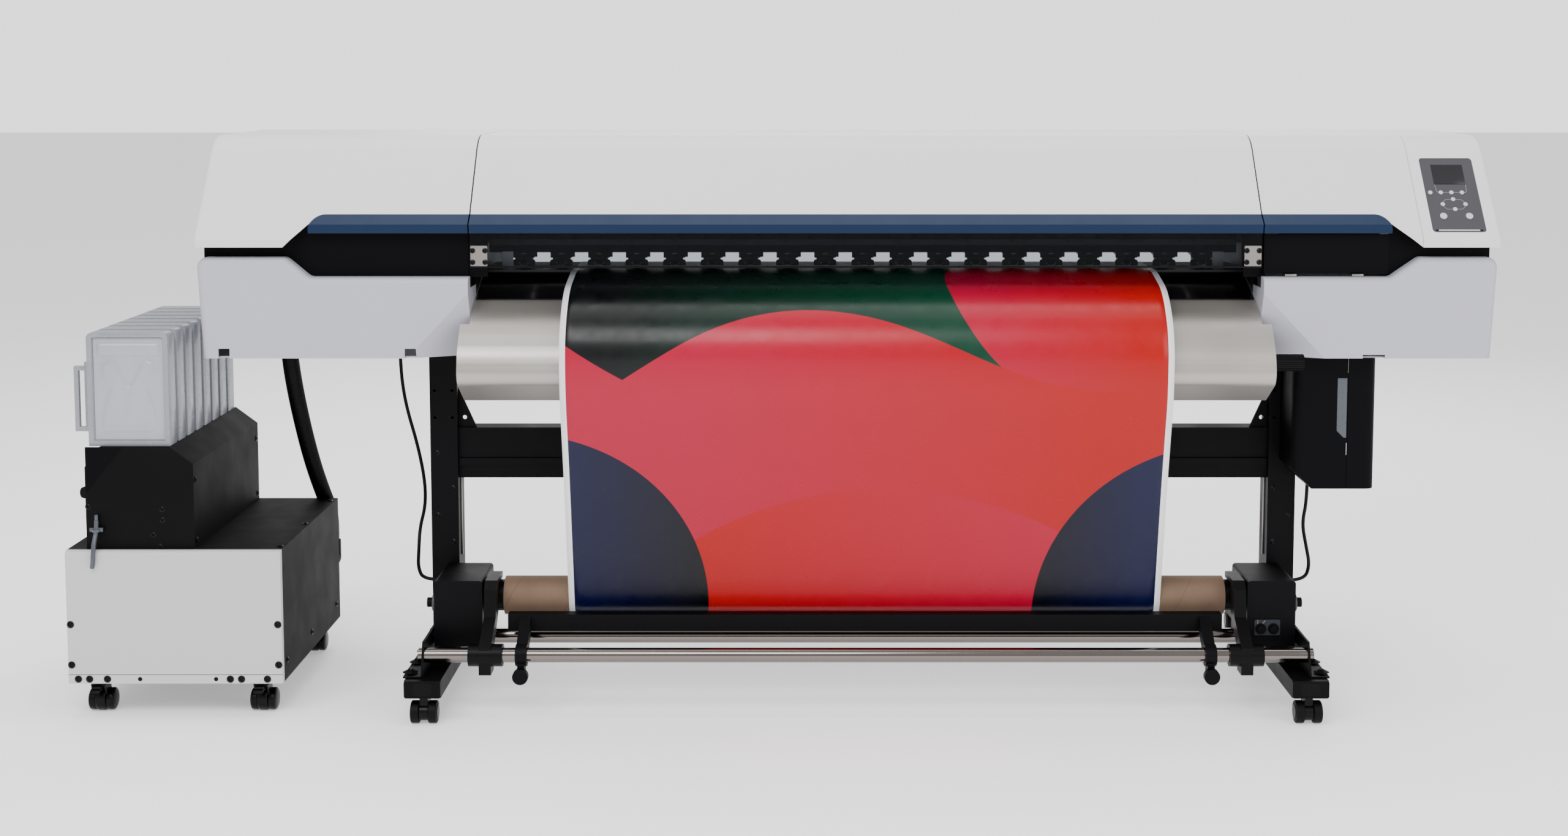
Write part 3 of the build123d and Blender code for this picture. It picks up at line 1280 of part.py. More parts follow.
def save(name, shape):
    """Write one sub-part, moved so that the origin is under the middle of the object."""
    pieces = shape if isinstance(shape, list) else [shape]
    solids = [solid for piece in pieces for solid in piece.solids()]
    moved = [Pos(-ORIGIN_X, -ORIGIN_Y, 0) * solid for solid in solids]
    export_step(moved[0] if len(moved) == 1 else Compound(children=moved), f"parts/{name}.step")


def single_pieces():
    """Every node that has a function of its own."""
    return {
        "left_lower_cover": left_lower_cover,
        "right_lower_cover": right_lower_cover,
        "left_upper_cover": left_upper_cover,
        "right_upper_cover": right_upper_cover,
        "control_cover": control_cover,
        "side_trims": side_trims,
        "front_cover": front_cover,
        "front_trim": front_trim,
        "front_window": front_window,
        "rear_cover": rear_cover,
        "maintenance_door": maintenance_door,
        "side_frames": side_frames,
        "front_apron": front_apron,
        "y_beam": y_beam,
        "pinch_rollers": pinch_rollers,
        "platen": platen,
        "feed_roller": feed_roller,
        "carriage": carriage,
        "media_web": media_web,
        "supply_roll": supply_roll,
        "stand_legs": stand_legs,
        "crossbeam": crossbeam,
        "takeup_boxes": takeup_boxes,
        "takeup_tube": takeup_tube,
        "takeup_chucks": takeup_chucks,
        "slide_pipes": slide_pipes,
        "pipe_clamps": pipe_clamps,
        "tension_bar": tension_bar,
        "waste_tank_cover": waste_tank_cover,
        "waste_tank_door": waste_tank_door,
        "panel_plate": panel_plate,
        "ink_base_cover": ink_base_cover,
        "ink_side_panel": ink_side_panel,
        "ink_housing": ink_housing,
        "ink_cases": ink_cases,
    }


def main():
    """Build every sub-part and write it."""
    os.makedirs("parts", exist_ok=True)
    for name, make in single_pieces().items():
        save(name, make())
    for name, (x, y, radius) in key_places().items():
        save(name, key(x, y, radius))
    for side_name, side in (("left", -1), ("right", 1)):
        for end_name, y in zip(("front", "rear"), caster_places()):
            save(f"caster_fork_{end_name}_{side_name}", caster_fork(side * LEG_X, y))
            save(f"caster_wheels_{end_name}_{side_name}", caster_wheels(side * LEG_X, y))
    for name, (x, y) in cart_caster_places().items():
        save(name, cart_caster(x, y))
    save("ink_hose", cord("ink_hose", HOSE_POINTS, HOSE_DIAMETER))
    save("left_cable", cord("left_cable", LEFT_CABLE_POINTS, CABLE_DIAMETER))
    save("right_cable", cord("right_cable", RIGHT_CABLE_POINTS, CABLE_DIAMETER))


if __name__ == "__main__":
    main()
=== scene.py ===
"""The look of a wide-format roll printer with its stand, take-up and ink cart."""

import logging
import math
from dataclasses import dataclass, field
from enum import Enum
from typing import Callable, Iterable, Sequence

import bmesh
import bpy
from mathutils import Matrix, Vector


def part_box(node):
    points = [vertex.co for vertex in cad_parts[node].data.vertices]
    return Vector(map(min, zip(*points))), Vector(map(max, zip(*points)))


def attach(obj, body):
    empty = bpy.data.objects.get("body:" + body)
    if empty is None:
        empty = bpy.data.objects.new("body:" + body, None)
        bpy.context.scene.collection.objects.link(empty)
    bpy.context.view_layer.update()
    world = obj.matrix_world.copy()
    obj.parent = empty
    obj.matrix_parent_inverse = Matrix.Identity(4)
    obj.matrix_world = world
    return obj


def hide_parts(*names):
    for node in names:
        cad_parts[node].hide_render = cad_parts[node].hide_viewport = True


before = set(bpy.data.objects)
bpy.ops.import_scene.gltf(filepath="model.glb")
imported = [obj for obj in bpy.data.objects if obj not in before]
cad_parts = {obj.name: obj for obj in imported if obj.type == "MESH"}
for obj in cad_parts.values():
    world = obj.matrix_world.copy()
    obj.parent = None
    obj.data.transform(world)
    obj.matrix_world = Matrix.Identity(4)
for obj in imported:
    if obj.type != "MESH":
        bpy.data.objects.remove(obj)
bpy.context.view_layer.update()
MM = 0.001
SQUARE_ON = 0.9
FLOOR_GLOW = 0.42
UNPRINTED_WHITE = (238, 238, 240)
PAPER_CENTRE = Vector((0.1855, 0.0625, 0.0))

Socket = bpy.types.NodeSocket
log = logging.getLogger("printer")


def spot(x: float, y: float, z: float) -> Vector:
    """A place in metres, from millimetres measured from the paper's middle line on the floor."""
    return PAPER_CENTRE + Vector((x, y, z)) * MM


def shade(red: int, green: int, blue: int) -> tuple[float, float, float, float]:
    """A paint colour from its everyday 0 to 255 values, as the shaders want it."""

    def straight(part: int) -> float:
        """One channel without its display curve."""
        share = part / 255
        return share / 12.92 if share <= 0.04045 else ((share + 0.055) / 1.055) ** 2.4

    return (straight(red), straight(green), straight(blue), 1.0)


class Axis(Enum):
    """The direction that a turned piece points along."""

    X = (0.0, math.pi / 2, 0.0)
    Y = (math.pi / 2, 0.0, 0.0)
    Z = (0.0, 0.0, 0.0)


class Grain(Enum):
    """The fine texture of a surface, by the size of its bumps per metre and their height."""

    POWDER = (1500.0, 0.00010)
    MOULDED = (2600.0, 0.00005)
    CAST = (900.0, 0.00012)
    SATIN = (420.0, 0.00002)


# ---------------------------------------------------------------- finishes


class Surface:
    """A material under construction, with the steps that every finish here is made of."""

    def __init__(self, name: str) -> None:
        """Starts a material with that name and one main shader."""
        self.material = bpy.data.materials.new(name)
        self.material.use_nodes = True
        self.nodes = self.material.node_tree.nodes
        self.links = self.material.node_tree.links
        self.shader = self.nodes["Principled BSDF"]
        self.place: Socket = self.nodes.new("ShaderNodeTexCoord").outputs["Object"]

    def feed(self, socket: Socket, value: object) -> None:
        """Links a socket, or sets it when the value is a plain one."""
        if isinstance(value, bpy.types.NodeSocket):
            self.links.new(value, socket)
        else:
            socket.default_value = value

    def node(self, kind: str, inputs: dict[object, object], **settings: object) -> bpy.types.Node:
        """Adds a node.

        Args:
            kind: Blender's name of the node type.
            inputs: Values or sockets for its inputs, by name or number.
            settings: Other settings of the node.

        Returns:
            The new node.
        """
        made = self.nodes.new(kind)
        for name, value in settings.items():
            setattr(made, name, value)
        for key, value in inputs.items():
            self.feed(made.inputs[key], value)
        return made

    def sum(self, operation: str, first: object, second: object = 0.0, third: object = 0.0) -> Socket:
        """One step of arithmetic.

        Args:
            operation: Blender's name of the operation.
            first: The first value or socket.
            second: The second value or socket.
            third: The third value or socket, for the operations that take one.

        Returns:
            The result's socket.
        """
        inputs = {0: first, 1: second, 2: third}
        return self.node("ShaderNodeMath", inputs, operation=operation).outputs[0]

    def stretched(self, scale: Sequence[float], source: Socket | None = None) -> Socket:
        """The place on the piece, stretched along each axis."""
        inputs = {"Vector": source or self.place, "Scale": tuple(scale)}
        return self.node("ShaderNodeMapping", inputs).outputs["Vector"]

    def noise(self, size: float, detail: float = 3.0, place: Socket | None = None) -> Socket:
        """A cloudy pattern.

        Args:
            size: How many clouds fit in a metre.
            detail: How many finer layers it has.
            place: Where the pattern is read, if not at the plain place on the piece.

        Returns:
            The pattern's socket, from 0 to 1.
        """
        inputs = {"Vector": place or self.place, "Scale": size, "Detail": detail}
        return self.node("ShaderNodeTexNoise", inputs).outputs["Fac"]

    def graded(self, source: Socket, low: float, high: float, out: tuple[float, float]) -> Socket:
        """A value carried from one range to another, held at the ends."""
        inputs = {"Value": source, "From Min": low, "From Max": high, "To Min": out[0], "To Max": out[1]}
        return self.node("ShaderNodeMapRange", inputs).outputs["Result"]

    def blended(self, share: object, first: object, second: object) -> Socket:
        """Two colours mixed by a share from 0 to 1."""
        inputs = {"Factor": share, "A": first, "B": second}
        made = self.nodes.new("ShaderNodeMix")
        made.data_type = "RGBA"
        sockets = {"Factor": made.inputs[0], "A": made.inputs[6], "B": made.inputs[7]}
        for key, value in inputs.items():
            self.feed(sockets[key], value)
        return made.outputs[2]

    def edges(self, radius: float) -> Socket:
        """A mask that is 1 along the piece's sharp edges and 0 on its faces."""
        rounded = self.node("ShaderNodeBevel", {"Radius": radius}, samples=4).outputs["Normal"]
        flat = self.nodes.new("ShaderNodeNewGeometry").outputs["Normal"]
        inputs = {0: rounded, 1: flat}
        along = self.node("ShaderNodeVectorMath", inputs, operation="DOT_PRODUCT").outputs["Value"]
        return self.graded(along, 0.995, 0.90, (0.0, 1.0))

    def bumps(self, height: Socket, distance: float, strength: float = 1.0) -> None:
        """Raises the surface by a pattern, in metres from its lowest to its highest value."""
        inputs = {"Height": height, "Distance": distance, "Strength": strength}
        self.feed(self.shader.inputs["Normal"], self.node("ShaderNodeBump", inputs).outputs["Normal"])

    def set(self, **values: object) -> None:
        """Sets the main shader's inputs, with underscores for the spaces in their names."""
        for name, value in values.items():
            self.feed(self.shader.inputs[name.replace("_", " ")], value)


@dataclass(frozen=True)
class Coat:
    """Paint, powder coat or moulded plastic.

    Fields: the slot's name, its colour, roughness, fine texture, how far the colour
    wanders, how bright its worn edges are (0 for none), how metallic it is, its clear
    coat and how strongly it mirrors.
    """

    name: str
    colour: tuple[int, int, int]
    roughness: float
    grain: Grain = Grain.POWDER
    wander: float = 0.05
    wear: float = 0.0
    metallic: float = 0.0
    coat: float = 0.0
    gloss: float = 0.5

    def material(self) -> bpy.types.Material:
        """The finished material."""
        surface = Surface(self.name)
        base = shade(*self.colour)
        darker = tuple(part * (1 - self.wander) for part in base[:3]) + (1.0,)
        lighter = tuple(min(1.0, part * (1 + self.wander)) for part in base[:3]) + (1.0,)
        patches = surface.noise(3.5, 4.0)
        colour = surface.blended(patches, darker, lighter)
        size, height = self.grain.value
        speckle = surface.noise(size * 0.35, 2.0)
        colour = surface.blended(surface.graded(speckle, 0.3, 0.7, (0.0, self.wander)), colour, darker)
        if self.wear:
            worn = tuple(min(1.0, part + self.wear) for part in base[:3]) + (1.0,)
            rubbed = surface.sum("MULTIPLY", surface.edges(0.0012), surface.noise(60.0, 5.0))
            colour = surface.blended(rubbed, colour, worn)
        dull = surface.graded(surface.noise(14.0, 5.0), 0.3, 0.7, (-0.04, 0.04))
        roughness = surface.sum("ADD", dull, self.roughness)
        surface.set(Base_Color=colour, Roughness=roughness, Metallic=self.metallic, Coat_Weight=self.coat)
        surface.set(Specular_IOR_Level=self.gloss)
        surface.bumps(surface.noise(size, 2.0), height, 0.6)
        return surface.material


@dataclass(frozen=True)
class BrushedMetal:
    """Rolled or drawn metal, with fine lines along one direction and a soft waviness across."""

    name: str
    colour: tuple[int, int, int]
    roughness: float
    lines: tuple[float, float, float]
    metallic: float = 1.0
    waviness: float = 0.0

    def material(self) -> bpy.types.Material:
        """The finished material."""
        surface = Surface(self.name)
        base = shade(*self.colour)
        drawn = surface.noise(1.0, 4.0, surface.stretched(self.lines))
        dim = tuple(part * 0.86 for part in base[:3]) + (1.0,)
        colour = surface.blended(drawn, dim, base)
        smudge = surface.graded(surface.noise(9.0, 6.0), 0.35, 0.75, (-0.03, 0.06))
        lined = surface.sum("MULTIPLY", drawn, 0.06)
        roughness = surface.sum("ADD", lined, surface.sum("ADD", smudge, self.roughness))
        surface.set(Base_Color=colour, Roughness=roughness, Metallic=self.metallic)
        ripple = surface.sum("MULTIPLY", surface.noise(2.2, 2.0), self.waviness)
        fine = surface.sum("MULTIPLY", drawn, 0.00002)
        surface.bumps(surface.sum("ADD", ripple, fine), 1.0, 0.5)
        return surface.material


@dataclass(frozen=True)
class ClearPlate:
    """A clear plastic plate: mostly seen through, with a sharp reflection that grows at a slant."""

    name: str
    tint: tuple[int, int, int]

    def material(self) -> bpy.types.Material:
        """The finished material."""
        surface = Surface(self.name)
        surface.set(Base_Color=shade(*self.tint), Specular_IOR_Level=0.6)
        streaks = surface.noise(30.0, 6.0, surface.stretched((0.2, 1.0, 1.0)))
        surface.set(Roughness=surface.graded(streaks, 0.3, 0.8, (0.02, 0.09)))
        through = surface.node("ShaderNodeBsdfTransparent", {"Color": shade(226, 229, 232)})
        slant = surface.node("ShaderNodeLayerWeight", {"Blend": 0.12}).outputs["Fresnel"]
        share = surface.graded(slant, 0.0, 1.0, (0.10, 0.75))
        mixed = surface.node("ShaderNodeMixShader", {0: share})
        surface.links.new(through.outputs[0], mixed.inputs[1])
        surface.links.new(surface.shader.outputs[0], mixed.inputs[2])
        surface.links.new(mixed.outputs[0], surface.nodes["Material Output"].inputs["Surface"])
        return surface.material


@dataclass(frozen=True)
class MilkyPlastic:
    """Frosted polypropylene that lets a little light through, with flow marks in it."""

    name: str
    colour: tuple[int, int, int]
    cover: float
    roughness: float

    def material(self) -> bpy.types.Material:
        """The finished material."""
        surface = Surface(self.name)
        base = shade(*self.colour)
        shadow = tuple(part * 0.90 for part in base[:3]) + (1.0,)
        flow = surface.noise(9.0, 4.0, surface.stretched((1.0, 2.0, 0.35)))
        surface.set(Base_Color=surface.blended(surface.graded(flow, 0.35, 0.7, (0.0, 1.0)), shadow, base))
        rough = (self.roughness * 0.8, self.roughness * 1.2)
        surface.set(Roughness=surface.graded(surface.noise(40.0, 4.0), 0.3, 0.7, rough))
        surface.set(Subsurface_Weight=0.25, Subsurface_Radius=(0.01, 0.01, 0.012), Alpha=self.cover)
        surface.bumps(surface.noise(160.0, 3.0), 0.0002, 0.5)
        return surface.material


@dataclass(frozen=True)
class SpiralCard:
    """Wound kraft board: a seam that runs round the tube, paper fibre and rubbed patches."""

    name: str
    colour: tuple[int, int, int]
    axis_y: float
    axis_z: float
    pitch: float = 0.14

    def material(self) -> bpy.types.Material:
        """The finished material."""
        surface = Surface(self.name)
        base = shade(*self.colour)
        pale = tuple(min(1.0, part * 1.25) for part in base[:3]) + (1.0,)
        dark = tuple(part * 0.62 for part in base[:3]) + (1.0,)
        parts = surface.node("ShaderNodeSeparateXYZ", {0: surface.place})
        up = surface.sum("SUBTRACT", parts.outputs["Z"], self.axis_z)
        out = surface.sum("SUBTRACT", parts.outputs["Y"], self.axis_y)
        turn = surface.sum("DIVIDE", surface.sum("ARCTAN2", up, out), math.tau)
        along = surface.sum("ADD", surface.sum("DIVIDE", parts.outputs["X"], self.pitch), turn)
        saw = surface.sum("FRACT", along)
        seam = surface.graded(saw, 0.0, 0.016, (1.0, 0.0))
        fibre = surface.noise(700.0, 4.0, surface.stretched((0.35, 1.0, 1.0)))
        mottled = surface.blended(surface.graded(fibre, 0.3, 0.7, (0.0, 1.0)), base, pale)
        rubbed = surface.graded(surface.noise(18.0, 4.0), 0.45, 0.75, (0.0, 0.35))
        patched = surface.blended(rubbed, mottled, dark)
        surface.set(Base_Color=surface.blended(seam, patched, dark))
        surface.set(Roughness=surface.graded(fibre, 0.2, 0.8, (0.62, 0.8)))
        ridge = surface.sum("SUBTRACT", surface.sum("MULTIPLY", fibre, 0.3), seam)
        surface.bumps(ridge, 0.0003, 0.5)
        return surface.material


@dataclass(frozen=True)
class InkedPaper:
    """Glossy coated paper with broad flowing shapes printed between two white margins.

    Fields: the slot's name, the sheet's width and length in metres, how much of it has not been
    printed yet and its white margin.
    """

    name: str
    width: float
    length: float
    blank: float
    margin: float = 0.013

    def swell(
        self, surface: Surface, across: Socket, down: Socket, wave: Sequence[float], side: float = 1.0
    ) -> Socket:
        """How far a place lies above a rolling line, or below it when the side is -1.

        Args:
            surface: The material being made.
            across: The place across the sheet, in metres.
            down: The place down the sheet, in metres.
            wave: The line's depth, slope, height of its swell, length of its swell and start.
            side: 1 for above the line, -1 for below it.

        Returns:
            The distance, in metres.
        """
        depth, slope, high, long, start = wave
        angle = surface.sum("MULTIPLY_ADD", across, math.tau / long, start)
        crest = surface.sum("MULTIPLY", surface.sum("SINE", angle), high)
        line = surface.sum("ADD", surface.sum("MULTIPLY_ADD", across, slope, depth), crest)
        return surface.sum("MULTIPLY", surface.sum("SUBTRACT", line, down), side)

    def disc(self, surface: Surface, across: Socket, down: Socket, round_spot: Sequence[float]) -> Socket:
        """How far a place lies inside a round spot, given by its centre across, down and its radius."""
        middle, depth, radius = round_spot
        beside = surface.sum("POWER", surface.sum("SUBTRACT", across, middle), 2.0)
        below = surface.sum("POWER", surface.sum("SUBTRACT", down, depth), 2.0)
        return surface.sum("SUBTRACT", radius, surface.sum("SQRT", surface.sum("ADD", beside, below)))

    def material(self) -> bpy.types.Material:
        """The finished material."""
        surface = Surface(self.name)
        sheet = surface.nodes.new("ShaderNodeTexCoord").outputs["UV"]
        parts = surface.node("ShaderNodeSeparateXYZ", {0: sheet})
        across = surface.sum("MULTIPLY", parts.outputs["X"], self.width)
        down = surface.sum("MULTIPLY", parts.outputs["Y"], self.length)
        red, rose = shade(158, 0, 0), shade(160, 0, 44)
        green, night, navy = shade(0, 58, 38), shade(0, 1, 2), shade(0, 3, 46)
        picture = surface.blended(surface.graded(across, 0.1, 0.9, (0.0, 1.0)), rose, red)
        layers = (
            (self.swell(surface, across, down, (0.78, 0.26, 0.12, 1.7, 0.4)), (0.1, 1.1), (night, green)),
            (self.disc(surface, across, down, (1.22, 0.62, 0.36)), (0.9, 1.3), (rose, red)),
            (self.swell(surface, across, down, (0.93, -0.10, 0.13, 1.5, 2.6), -1.0), (1.2, 0.3), (red, rose)),
            (self.disc(surface, across, down, (0.72, 1.98, 0.80)), (0.3, 1.2), (red, rose)),
            (self.disc(surface, across, down, (-0.10, 1.46, 0.42)), (0.0, 0.32), (navy, night)),
            (self.disc(surface, across, down, (1.50, 1.50, 0.44)), (1.05, 1.30), (night, navy)),
        )
        for inside, span, (first, second) in layers:
            fill = surface.blended(surface.graded(across, span[0], span[1], (0.0, 1.0)), first, second)
            picture = surface.blended(surface.graded(inside, -0.0006, 0.0006, (0.0, 1.0)), picture, fill)
        edge = surface.sum("MINIMUM", across, surface.sum("SUBTRACT", self.width, across))
        beside = surface.graded(edge, self.margin, self.margin + 0.0005, (0.0, 1.0))
        begun = surface.graded(down, self.blank, self.blank + 0.0005, (0.0, 1.0))
        printed = surface.sum("MULTIPLY", beside, begun)
        surface.set(Base_Color=surface.blended(printed, shade(*UNPRINTED_WHITE), picture))
        surface.set(Specular_IOR_Level=0.3)
        surface.set(Roughness=surface.graded(surface.noise(25.0, 4.0), 0.3, 0.7, (0.25, 0.36)))
        surface.bumps(surface.noise(6.0, 2.0), 0.0006, 0.25)
        return surface.material


@dataclass(frozen=True)
class BlankPaper:
    """The unprinted side of the paper: white, with a faint fibre and soft waves."""

    name: str
    colour: tuple[int, int, int] = (236, 236, 236)

    def material(self) -> bpy.types.Material:
        """The finished material."""
        surface = Surface(self.name)
        base = shade(*self.colour)
        dim = tuple(part * 0.95 for part in base[:3]) + (1.0,)
        surface.set(Base_Color=surface.blended(surface.noise(400.0, 4.0), dim, base))
        surface.set(Roughness=surface.graded(surface.noise(60.0, 3.0), 0.3, 0.7, (0.5, 0.62)))
        surface.bumps(surface.noise(900.0, 3.0), 0.00004, 0.5)
        return surface.material


@dataclass(frozen=True)
class WoundRoll:
    """A roll of paper: white outside, with the edges of its turns showing at the ends."""

    name: str
    turns: float = 900.0

    def material(self) -> bpy.types.Material:
        """The finished material."""
        surface = Surface(self.name)
        white, grey = shade(235, 235, 234), shade(198, 198, 200)
        parts = surface.node("ShaderNodeSeparateXYZ", {0: surface.place})
        low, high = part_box("supply_roll")
        middle = (low + high) / 2
        up = surface.sum("SUBTRACT", parts.outputs["Z"], middle.z)
        out = surface.sum("SUBTRACT", parts.outputs["Y"], middle.y)
        squares = surface.sum("ADD", surface.sum("POWER", up, 2.0), surface.sum("POWER", out, 2.0))
        far = surface.sum("SQRT", squares)
        ring = surface.sum("SINE", surface.sum("MULTIPLY", far, self.turns * math.tau))
        colour = surface.blended(surface.graded(ring, -1.0, 1.0, (0.0, 0.6)), white, grey)
        surface.set(Base_Color=colour, Roughness=surface.graded(surface.noise(50.0), 0.3, 0.7, (0.5, 0.65)))
        surface.bumps(surface.noise(500.0, 3.0), 0.00006, 0.5)
        return surface.material


def floor_material() -> bpy.types.Material:
    """A pale matt studio floor."""
    surface = Surface("studio_floor")
    surface.set(Base_Color=surface.blended(surface.noise(0.6), shade(246, 246, 247), shade(250, 250, 250)))
    surface.set(Roughness=surface.graded(surface.noise(2.0), 0.3, 0.7, (0.6, 0.7)))
    surface.set(Emission_Color=shade(252, 252, 255), Emission_Strength=FLOOR_GLOW)
    return surface.material


class Paintbox:
    """Every finish of the machine, made once and handed out by the name of its slot."""

    def __init__(self) -> None:
        """Makes the materials."""
        low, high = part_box("takeup_tube")
        core = (low + high) / 2
        lengthwise, upright = (3.0, 900.0, 900.0), (600.0, 600.0, 4.0)
        finishes = (
            Coat("cover_white", (216, 215, 217), 0.46, Grain.POWDER, 0.02),
            Coat("cover_grey_white", (172, 172, 180), 0.48, Grain.POWDER, 0.03),
            Coat("trim_blue", (10, 32, 60), 0.42, Grain.MOULDED, 0.05, 0.003, gloss=0.16),
            ClearPlate("window_clear", (20, 22, 24)),
            Coat("recess_black", (5, 5, 7), 0.50, Grain.POWDER, 0.10, 0.002, gloss=0.06),
            Coat("frame_black", (6, 6, 8), 0.48, Grain.POWDER, 0.12, 0.004, gloss=0.08),
            BrushedMetal("apron_steel", (172, 167, 161), 0.36, lengthwise, 0.75, 0.0006),
            BrushedMetal("pipe_chrome", (124, 117, 113), 0.10, (900.0, 12.0, 12.0)),
            BrushedMetal("platen_aluminium", (40, 41, 44), 0.30, lengthwise, 0.8),
            Coat("black_plastic", (6, 6, 7), 0.40, Grain.MOULDED, 0.12, 0.005, gloss=0.10),
            SpiralCard("core_card", (102, 80, 62), core.y, core.z),
            WoundRoll("roll_paper"),
            Coat("panel_grey", (66, 65, 69), 0.38, Grain.MOULDED, 0.04, gloss=0.25),
            Coat("key_grey", (188, 186, 185), 0.38, Grain.SATIN, 0.02),
            Coat("cart_white", (192, 190, 193), 0.46, Grain.POWDER, 0.03),
            Coat("cart_black", (9, 8, 9), 0.60, Grain.POWDER, 0.10, 0.006, gloss=0.08),
            MilkyPlastic("case_clear", (150, 152, 160), 0.84, 0.26),
            MilkyPlastic("pouch_film", (172, 173, 180), 0.94, 0.16),
            Coat("caster_black", (5, 5, 6), 0.32, Grain.MOULDED, 0.12, 0.005, gloss=0.14),
            Coat("caster_tread", (10, 10, 11), 0.55, Grain.CAST, 0.15, 0.008, gloss=0.10),
            Coat("hose_black", (5, 5, 6), 0.38, Grain.MOULDED, 0.12, 0.003, gloss=0.12),
            Coat("cable_black", (5, 5, 6), 0.45, Grain.SATIN, 0.10, gloss=0.12),
            Coat("screw_black", (10, 10, 11), 0.28, Grain.SATIN, 0.10, 0.01, 0.4, gloss=0.2),
            BrushedMetal("zinc_plate", (146, 142, 136), 0.34, upright, 0.9),
            Coat("rail_grey", (44, 46, 50), 0.42, Grain.SATIN, 0.06, 0.004, 0.2, gloss=0.15),
            Coat("switch_grey", (42, 44, 49), 0.42, Grain.MOULDED, 0.05, gloss=0.15),
            Coat("knob_grey", (72, 73, 77), 0.42, Grain.MOULDED, 0.05, 0.01, gloss=0.2),
            Coat("display_glass", (34, 33, 35), 0.14, Grain.SATIN, 0.04, gloss=0.35),
            Coat("outline_pale", (130, 132, 138), 0.45, Grain.SATIN, 0.03),
            Coat("light_bar", (190, 192, 196), 0.22, Grain.SATIN, 0.03),
            MilkyPlastic("tank_strip", (72, 77, 84), 0.96, 0.30),
            Coat("guide_black", (5, 5, 7), 0.12, Grain.SATIN, 0.10, gloss=0.22),
            BlankPaper("blank_paper"),
        )
        self.materials = {finish.name: finish.material() for finish in finishes}

    def __getitem__(self, slot: str) -> bpy.types.Material:
        """The material of a slot."""
        return self.materials[slot]

    def dress(self, node: str, slot: str) -> None:
        """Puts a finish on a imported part."""
        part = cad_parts[node]
        for place in part.material_slots:
            place.material = self.materials[slot]
        if not part.material_slots:
            part.data.materials.append(self.materials[slot])

    def dress_all(self, dressed: dict[str, str]) -> None:
        """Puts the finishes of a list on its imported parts."""
        for node, slot in dressed.items():
            self.dress(node, slot)
        log.info("%d parts dressed", len(dressed))


# ---------------------------------------------------------------- the bench


def deselect_all() -> None:
    """Leaves nothing selected, so that an operator acts on the new piece only."""
    if bpy.context.mode != "OBJECT":
        bpy.ops.object.mode_set(mode="OBJECT")
    bpy.ops.object.select_all(action="DESELECT")


Test = Callable[[Vector, Vector], bool]


def faces_front(middle: Vector, normal: Vector) -> bool:
    """True for a face that looks to the front."""
    return normal.y < -SQUARE_ON


def runs_deep(middle: Vector, along: Vector) -> bool:
    """True for an edge that runs from front to rear."""
    return abs(along.y) > SQUARE_ON


